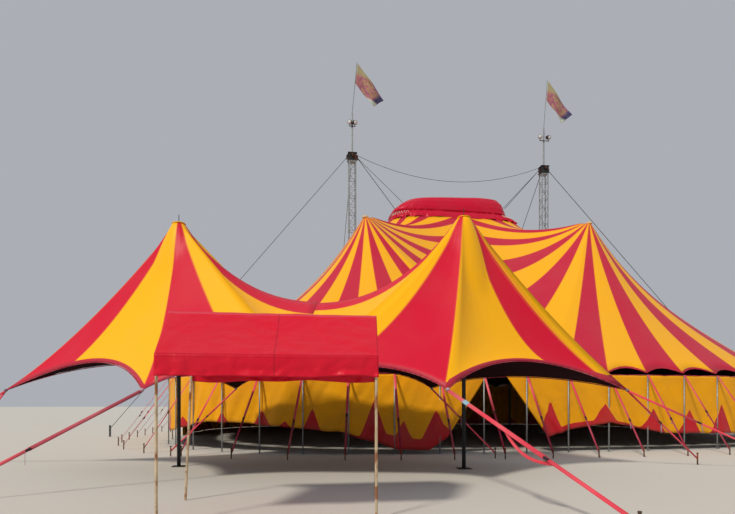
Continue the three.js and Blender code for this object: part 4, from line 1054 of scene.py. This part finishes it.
def webbing(name, code):
    """Woven polyester webbing with fine ribs and sun-bleached stretches."""
    material = plain(name, code, 0.75)
    tree = material.node_tree
    shader = tree.nodes["Principled BSDF"]
    where = add(tree, "TexCoord").outputs["Object"]
    spots = add(tree, "TexNoise", {"Vector": where, "Scale": 1000 / BLEACH_MM, "Detail": 3})
    bleach = add(tree, "MapRange", {0: spots.outputs[0], 1: 0.4, 2: 0.7, 3: 0.0, 4: 0.3}).outputs[0]
    faded = add(tree, "Mix", {0: bleach, 6: linear(code), 7: linear("#f0a0a4")}, data_type="RGBA")
    tree.links.new(faded.outputs[2], shader.inputs["Base Color"])
    # At a scale of 1 the bands of a wave are 314 mm apart.
    ribs = add(tree, "TexWave", {"Vector": where, "Scale": 314 / RIB_MM, "Distortion": 0.6})
    relief = add(tree, "Bump", {"Height": ribs.outputs[0], "Strength": 0.4, "Distance": 0.001})
    tree.links.new(relief.outputs[0], shader.inputs["Normal"])
    return material


galvanised = metal("hot dip galvanised steel", "#9aa0a3", 0.5, 0.6, 90)
dark_steel = metal("dark painted steel", "#33363a", 0.5, 0.2, 120, rust=0.5)
wire_rope = metal("stranded wire rope", "#54595d", 0.55, 0.5, 40)
beige_tube = metal("beige painted tube with rust", "#c6b393", 0.5, 0.0, 160, rust=0.85)
stake_steel = metal("rusty stake steel", "#6b5648", 0.7, 0.4, 60, rust=0.9)
pink_webbing = webbing("polyester webbing, pink-red", "#e0485a")
dark_red_webbing_and_shade = webbing("polyester webbing, dark red", "#a32a44")
blue_webbing = webbing("polyester label webbing, pale blue", "#5fc3dc")
white_cord_and_glints = webbing("polyester webbing, white", "#d6cfca")
pale_webbing = webbing("polyester webbing, pale violet", "#a596a6")
# The entrance poles are galvanised too; their dark grey is painted shade.
shade_dark_pole = metal("weathered zinc pole", "#3a3b3d", 0.6, 0.3, 110)
print("metal and webbing ready")

# %% Tubes, blocks and straps


def bar_frame(run, middle):
    """The frame whose z runs along a bar."""
    return Matrix.Translation(middle) @ run.to_track_quat("Z", "Y").to_matrix().to_4x4()


def tube(shape, start, end, radius, sides=10):
    """A round bar from one point to another."""
    run = end - start
    bmesh.ops.create_cone(
        shape, cap_ends=True, segments=sides, radius1=radius, radius2=radius, depth=run.length,
        matrix=bar_frame(run, (start + end) / 2),
    )


def block(shape, middle, size, run=None):
    """A box with level faces, or one whose z runs along a bar."""
    stand = bar_frame(run, middle) if run else Matrix.Translation(middle)
    bmesh.ops.create_cube(shape, size=1, matrix=stand @ Matrix.Diagonal((*size, 1)))


def cap(shape, middle, rings, sides):
    """Stacked rings round an upright line: each ring is a radius and a height over the middle."""
    for (low_r, low_z), (high_r, high_z) in zip(rings, rings[1:]):
        bmesh.ops.create_cone(
            shape, cap_ends=True, segments=sides, radius1=low_r, radius2=high_r, depth=high_z - low_z,
            matrix=Matrix.Translation(middle + Vector((0, 0, (low_z + high_z) / 2))),
        )


def cord(shape, points, radius):
    """A rope or cable through many points."""
    for start, end in zip(points, points[1:]):
        tube(shape, start, end, radius, 6)


def strap(shape, start, end, width=0.05, thickness=0.004, face=(0, 0, 1)):
    """Flat webbing from one point to another, with its broad side up or towards a direction."""
    run = end - start
    across = run.cross(Vector(face)).normalized()
    over = across.cross(run).normalized()
    laid = Matrix((across * width, over * thickness, run)).transposed().to_4x4()
    laid.translation = (start + end) / 2
    bmesh.ops.create_cube(shape, size=1, matrix=laid)


print("helpers for bars, blocks and webbing are ready")

# %% [markdown]
# The cupola's cover is laced together at its corners with thin cord. A zigzag between the skirt and
# the crease follows the cover, so it is measured out with the same function that shaped it.

# %% Lacing at the ends of the cupola cover
laces = bmesh.new()
for first, last in ((188, 236), (304, 352), (8, 56), (124, 172)):
    turns = [math.radians(first + (last - first) * k / 16) for k in range(17)]
    stitches = [on_cover(turn, 3.7 if k % 2 else 1.6, 1.02) for k, turn in enumerate(turns)]
    cord(laces, stitches, 0.006)
# The cord is white: partly its own colour, partly a painted highlight for the glints at the laced ends.
wear(keep("cupola_lacing", laces, white_cord_and_glints), "webbing")

# %% [markdown]
# Each mast is a square lattice tower of welded tube: four chords, with rungs and a diagonal in each
# bay. An array modifier could repeat one bay, but a loop over the levels also turns every second
# diagonal round, as the welder does. The bars have few sides because there are hundreds of them.

# %% Masts
CHORD, LATTICE_TOP = 0.153, 12.7
lattice = bmesh.new()
for hand in (-1, 1):
    x = MAST_X * hand
    block(lattice, at(x, 0, 0.02), (1, 1, 0.04))
    block(lattice, at(x, 0, LATTICE_TOP - 0.01), (0.35, 0.35, 0.06))
    feet = [(x - CHORD, -CHORD), (x + CHORD, -CHORD), (x + CHORD, CHORD), (x - CHORD, CHORD)]
    for k, (px, py) in enumerate(feet):
        qx, qy = feet[(k + 1) % 4]
        tube(lattice, at(px, py, 0.04), at(px, py, LATTICE_TOP), 0.022)
        block(lattice, at(px, py, 0.06), (0.09, 0.09, 0.04))
        for level in range(31):
            low = 0.25 + 0.4 * level
            tube(lattice, at(px, py, low), at(qx, qy, low), 0.011, 6)
            start, end = ((px, py), (qx, qy)) if level % 2 else ((qx, qy), (px, py))
            tube(lattice, at(*start, low), at(*end, low + 0.4), 0.01, 6)
print("bars of the masts:", len(lattice.faces), "faces")
masts = keep("lattice_masts", lattice, galvanised, smooth=False)
wear(masts, "galvanised", "mast_left", "mast_right")

# %% [markdown]
# The head of a mast is a dark steel box with a sheave on each side for the wire ropes. Higher up, a
# short bar on the flagpole carries two lamps that look down at the entrance. Boxes and short
# cylinders are enough for both, because they are seen small against the sky.

# %% Mast heads, sheaves and lamps
heads = bmesh.new()
for hand in (-1, 1):
    x = MAST_X * hand
    block(heads, at(x, 0, 12.90), (0.36, 0.36, 0.34))
    block(heads, at(x, 0, 13.06), (0.42, 0.42, 0.03))
    block(heads, at(x, 0, 12.75), (0.42, 0.42, 0.03))
    for side_x, side_y in ((-1, 0), (1, 0), (0, -1), (0, 1)):
        middle = at(x + 0.19 * side_x, 0.19 * side_y, 12.94)
        axle = Vector((side_y, side_x, 0)) * 0.05
        tube(heads, middle - axle, middle + axle, 0.085, 14)
        tube(heads, middle - axle * 2.2, middle + axle * 2.2, 0.02, 8)
head_blocks = keep("mast_head_blocks", heads, dark_steel, smooth=False)
wear(head_blocks, "dark_steel", "mast_head_left", "mast_head_right")

lamps, glasses = bmesh.new(), bmesh.new()
for hand, spread in ((-1, 0.12), (1, 0.22)):
    x = MAST_X * hand
    block(lamps, at(x, -0.06, 14.33), (2 * spread + 0.06, 0.03, 0.03))
    for side in (-1, 1):
        middle = at(x + side * spread, -0.08, 14.5)
        tube(lamps, at(x + side * spread, -0.07, 14.33), middle, 0.015, 8)
        aim = Vector((0.35 * side, -0.8, -0.35)).normalized()
        tube(lamps, middle - aim * 0.06, middle + aim * 0.06, 0.1, 14)
        block(lamps, middle - aim * 0.1, (0.12, 0.1, 0.12))
        tube(glasses, middle + aim * 0.055, middle + aim * 0.066, 0.085, 14)
housings = keep("floodlight_housings", lamps, dark_steel, smooth=False)
wear(housings, "dark_steel", "floodlights_left", "floodlights_right")
lamp_glass = plain("lamp front glass", "#d9dde0", 0.12)
wear(keep("floodlight_glasses", glasses, lamp_glass), "dark_steel")

# %% [markdown]
# A pole stands under each peak. It is made of lengths of tube with a sleeve over each joint, and a
# small cap of cloth keeps the rain off its tip. Cones stacked on one line give the cap its profile.
# The entrance tent has the same, with a thin spike and a rounded crown of yellow cloth.

# %% Peak poles and caps of the big top
poles, caps = bmesh.new(), bmesh.new()
for hand, depth in QUARTERS:
    x, y, top = PEAK.x * hand, PEAK.y * depth, PEAK_HEIGHT[hand]
    block(poles, at(x, y, 0.01), (0.3, 0.3, 0.02))
    tube(poles, at(x, y, 0.02), at(x, y, top - 0.14), 0.057, 16)
    for joint in (2.9, 5.8):
        tube(poles, at(x, y, joint - 0.12), at(x, y, joint + 0.12), 0.066, 16)
    cap(caps, at(x, y, top), ((0.125, -0.15), (0.11, -0.09), (0.07, -0.06), (0.02, -0.05)), 24)
peak_nodes = [n for n in frame["nodes"] if n.startswith("peak_pole")]
wear(keep("peak_poles", poles, galvanised), "galvanised", *peak_nodes)
wear(keep("peak_caps", caps, plain("beige cap cloth", "#d9b98a", 0.6)), "beige_paint")

# %% Peak poles and crowns of the entrance tent
poles, crowns = bmesh.new(), bmesh.new()
for side, hand in HANDS.items():

    def on_pole(height):
        return in_foyer(hand * FOYER_PEAK_X, 0, height)

    block(poles, on_pole(0.008), (0.3, 0.3, 0.015))
    tube(poles, on_pole(0.015), on_pole(5.8), 0.045, 16)
    tube(poles, on_pole(5.8), on_pole(6.06), 0.009, 8)
    cap(crowns, on_pole(0), ((0.165, 5.842), (0.14, 5.862), (0.08, 5.874), (0.015, 5.88)), 28)
# The dark grey of these poles is painted shade.
standing = keep("entrance_poles", poles, shade_dark_pole)
wear(standing, "galvanised", "foyer_pole_left", "foyer_pole_right")
crown_cloth = plain_cloth("yellow PVC crown", "#fbb50c", 0.42, 200, 0.01)
wear(keep("entrance_crowns", crowns, crown_cloth), "stripes")

# %% [markdown]
# At each of the 56 stations of the hem stands a side pole, and a ratchet strap runs from the hem
# to a stake outside. The eave rope between the poles carries the walls.

# %% Side poles, straps and stakes of the big top
# Where the broad side of the entrance straps faces, then places of poles and stakes at the hem.
FRONT = (-0.15, -0.97, 0.2)
POLE_OUT, POLE_TOP, STRAP_REACH, STAKE_HOLD = 0.038, 2.39, 1.7, 0.15
side_poles, straps, lower_straps, ratchets, stakes, tails, ropes = (bmesh.new() for _ in range(7))


def ratchet_strap(top, foot, share, width, face=(0, 0, 1), shapes=None):
    """Webbing in two parts with a ratchet between them and, at some, a loose tail."""
    upper, lower = shapes or (straps, lower_straps)
    joint = top.lerp(foot, share)
    run = (foot - top).normalized()
    strap(upper, top, joint, width, face=face)
    strap(lower, joint, foot, width * 0.85, face=face)
    block(ratchets, joint, (0.05, 0.035, 0.09), run)
    if dice.random() < 0.6:
        hang = joint + Vector((0, 0, -dice.uniform(0.08, 0.26))) + run * dice.uniform(0.02, 0.1)
        strap(tails, joint + run * 0.05, hang, 0.035)
    tube(stakes, Vector((foot.x, foot.y, 0.003)), Vector((foot.x, foot.y, 0.29)), 0.018)
    tube(stakes, Vector((foot.x, foot.y, 0.275)), Vector((foot.x, foot.y, 0.3)), 0.026)


for side_x, side_y in QUARTERS:
    for station in range(STATIONS):
        arc = (station + 0.5) * BAY
        plan, away = hem_at(arc), outward(hem_at(arc), HEM_SIDES, HEM_POWER)

        def out(distance, height):
            point = plan + away * distance
            return at(side_x * point.x, side_y * point.y, height)

        block(side_poles, out(POLE_OUT, 0.004), (0.1, 0.1, 0.008))
        tube(side_poles, out(POLE_OUT, 0.006), out(POLE_OUT, POLE_TOP), 0.022)
        share = dice.uniform(0.5, 0.62)
        ratchet_strap(out(0.05, POLE_TOP - 0.005), out(STRAP_REACH, STAKE_HOLD), share, 0.068)
    rope = []
    for k in range(STATIONS * 4 + 1):
        mark = hem_at(k / 4 * BAY)
        rope.append(at(side_x * mark.x, side_y * mark.y, 2.386 - 0.012 * (k % 4 == 0)))
    cord(ropes, rope, 0.012)

# %% Straps and hem rope of the entrance tent
for side, hand in HANDS.items():
    hem, _ = foyer_border(side)
    shown = [in_foyer(hand * p.x, p.y, p.z - 0.022) for p in hem[::2]]
    cord(ropes, shown, 0.011)
    front, tip, back = hem_corners(hem)
    reaches = [(tip, 2.05, 0.93), (tip, 3.0 if side == "left" else 3.7, 0.2), (back, 1.7, -0.6)]
    reaches.append((front, 2.2, -2.0) if side == "left" else (front, 1.96, -3.465))
    for corner, x, y in reaches:
        top = in_foyer(hand * corner.x, corner.y, corner.z - 0.03)
        foot = in_foyer(hand * (corner.x + x), corner.y + y, STAKE_HOLD)
        knot = in_foyer(hand * corner.x, corner.y, corner.z - 0.02)
        if corner == front:
            # On the left the front strap's upper part is dark red: painted shade.
            shapes = (lower_straps, straps) if side == "left" else (straps, straps)
            ratchet_strap(top, foot, 0.62, 0.07, FRONT, shapes)
        else:
            ratchet_strap(top, foot, 0.45, 0.05, FRONT, (straps, straps))
        bmesh.ops.create_icosphere(tails, subdivisions=2, radius=0.04, matrix=Matrix.Translation(knot))
        if corner == front and side == "right":
            label = bmesh.new()
            strap(label, top.lerp(foot, 0.12), top.lerp(foot, 0.155), 0.078, 0.012, FRONT)
            wear(keep("strap_label", label, blue_webbing), "webbing")
            slack = []
            for k in range(41):
                drop = 0.17 * math.sin(math.pi * (k / 40) ** 0.8)
                slack.append(top.lerp(foot, 0.4 + 0.26 * k / 40) - Vector((0, 0, drop)))
            for a, b in zip(slack, slack[1:]):
                strap(straps, a, b, 0.05, face=FRONT)

rigging = [n for n in frame["nodes"] if "rigging" in n]
wear(keep("tension_straps", straps, pink_webbing), "webbing", *rigging)
soft_rigging = (
    ("lower_straps", lower_straps, dark_red_webbing_and_shade), ("strap_tails", tails, pale_webbing),
    ("hem_ropes", ropes, dark_red_webbing_and_shade),
)
for name, shape, material in soft_rigging:
    wear(keep(name, shape, material), "webbing")
wear(keep("side_poles", side_poles, galvanised), "galvanised")
wear(keep("strap_ratchets", ratchets, dark_steel, smooth=False), "dark_steel")
wear(keep("ground_stakes", stakes, stake_steel), "dark_steel")

# %% [markdown]
# What stays from CAD gets its metal and rope finishes.

# %% Finishes of the CAD nodes
finishes = {
    "galvanised": galvanised, "dark_steel": dark_steel, "wire_rope": wire_rope,
    "beige_paint": beige_tube, "webbing": pink_webbing,
}
slots = {row["node"]: row["material_slot"] for row in frame["record"]["subparts"]}
for name, node in frame["nodes"].items():
    finish = finishes.get(slots[name])
    if finish and not node.hide_render:
        node.data.materials.clear()
        node.data.materials.append(finish)
print("CAD nodes finished:", sum(not n.hide_render for n in frame["nodes"].values()))
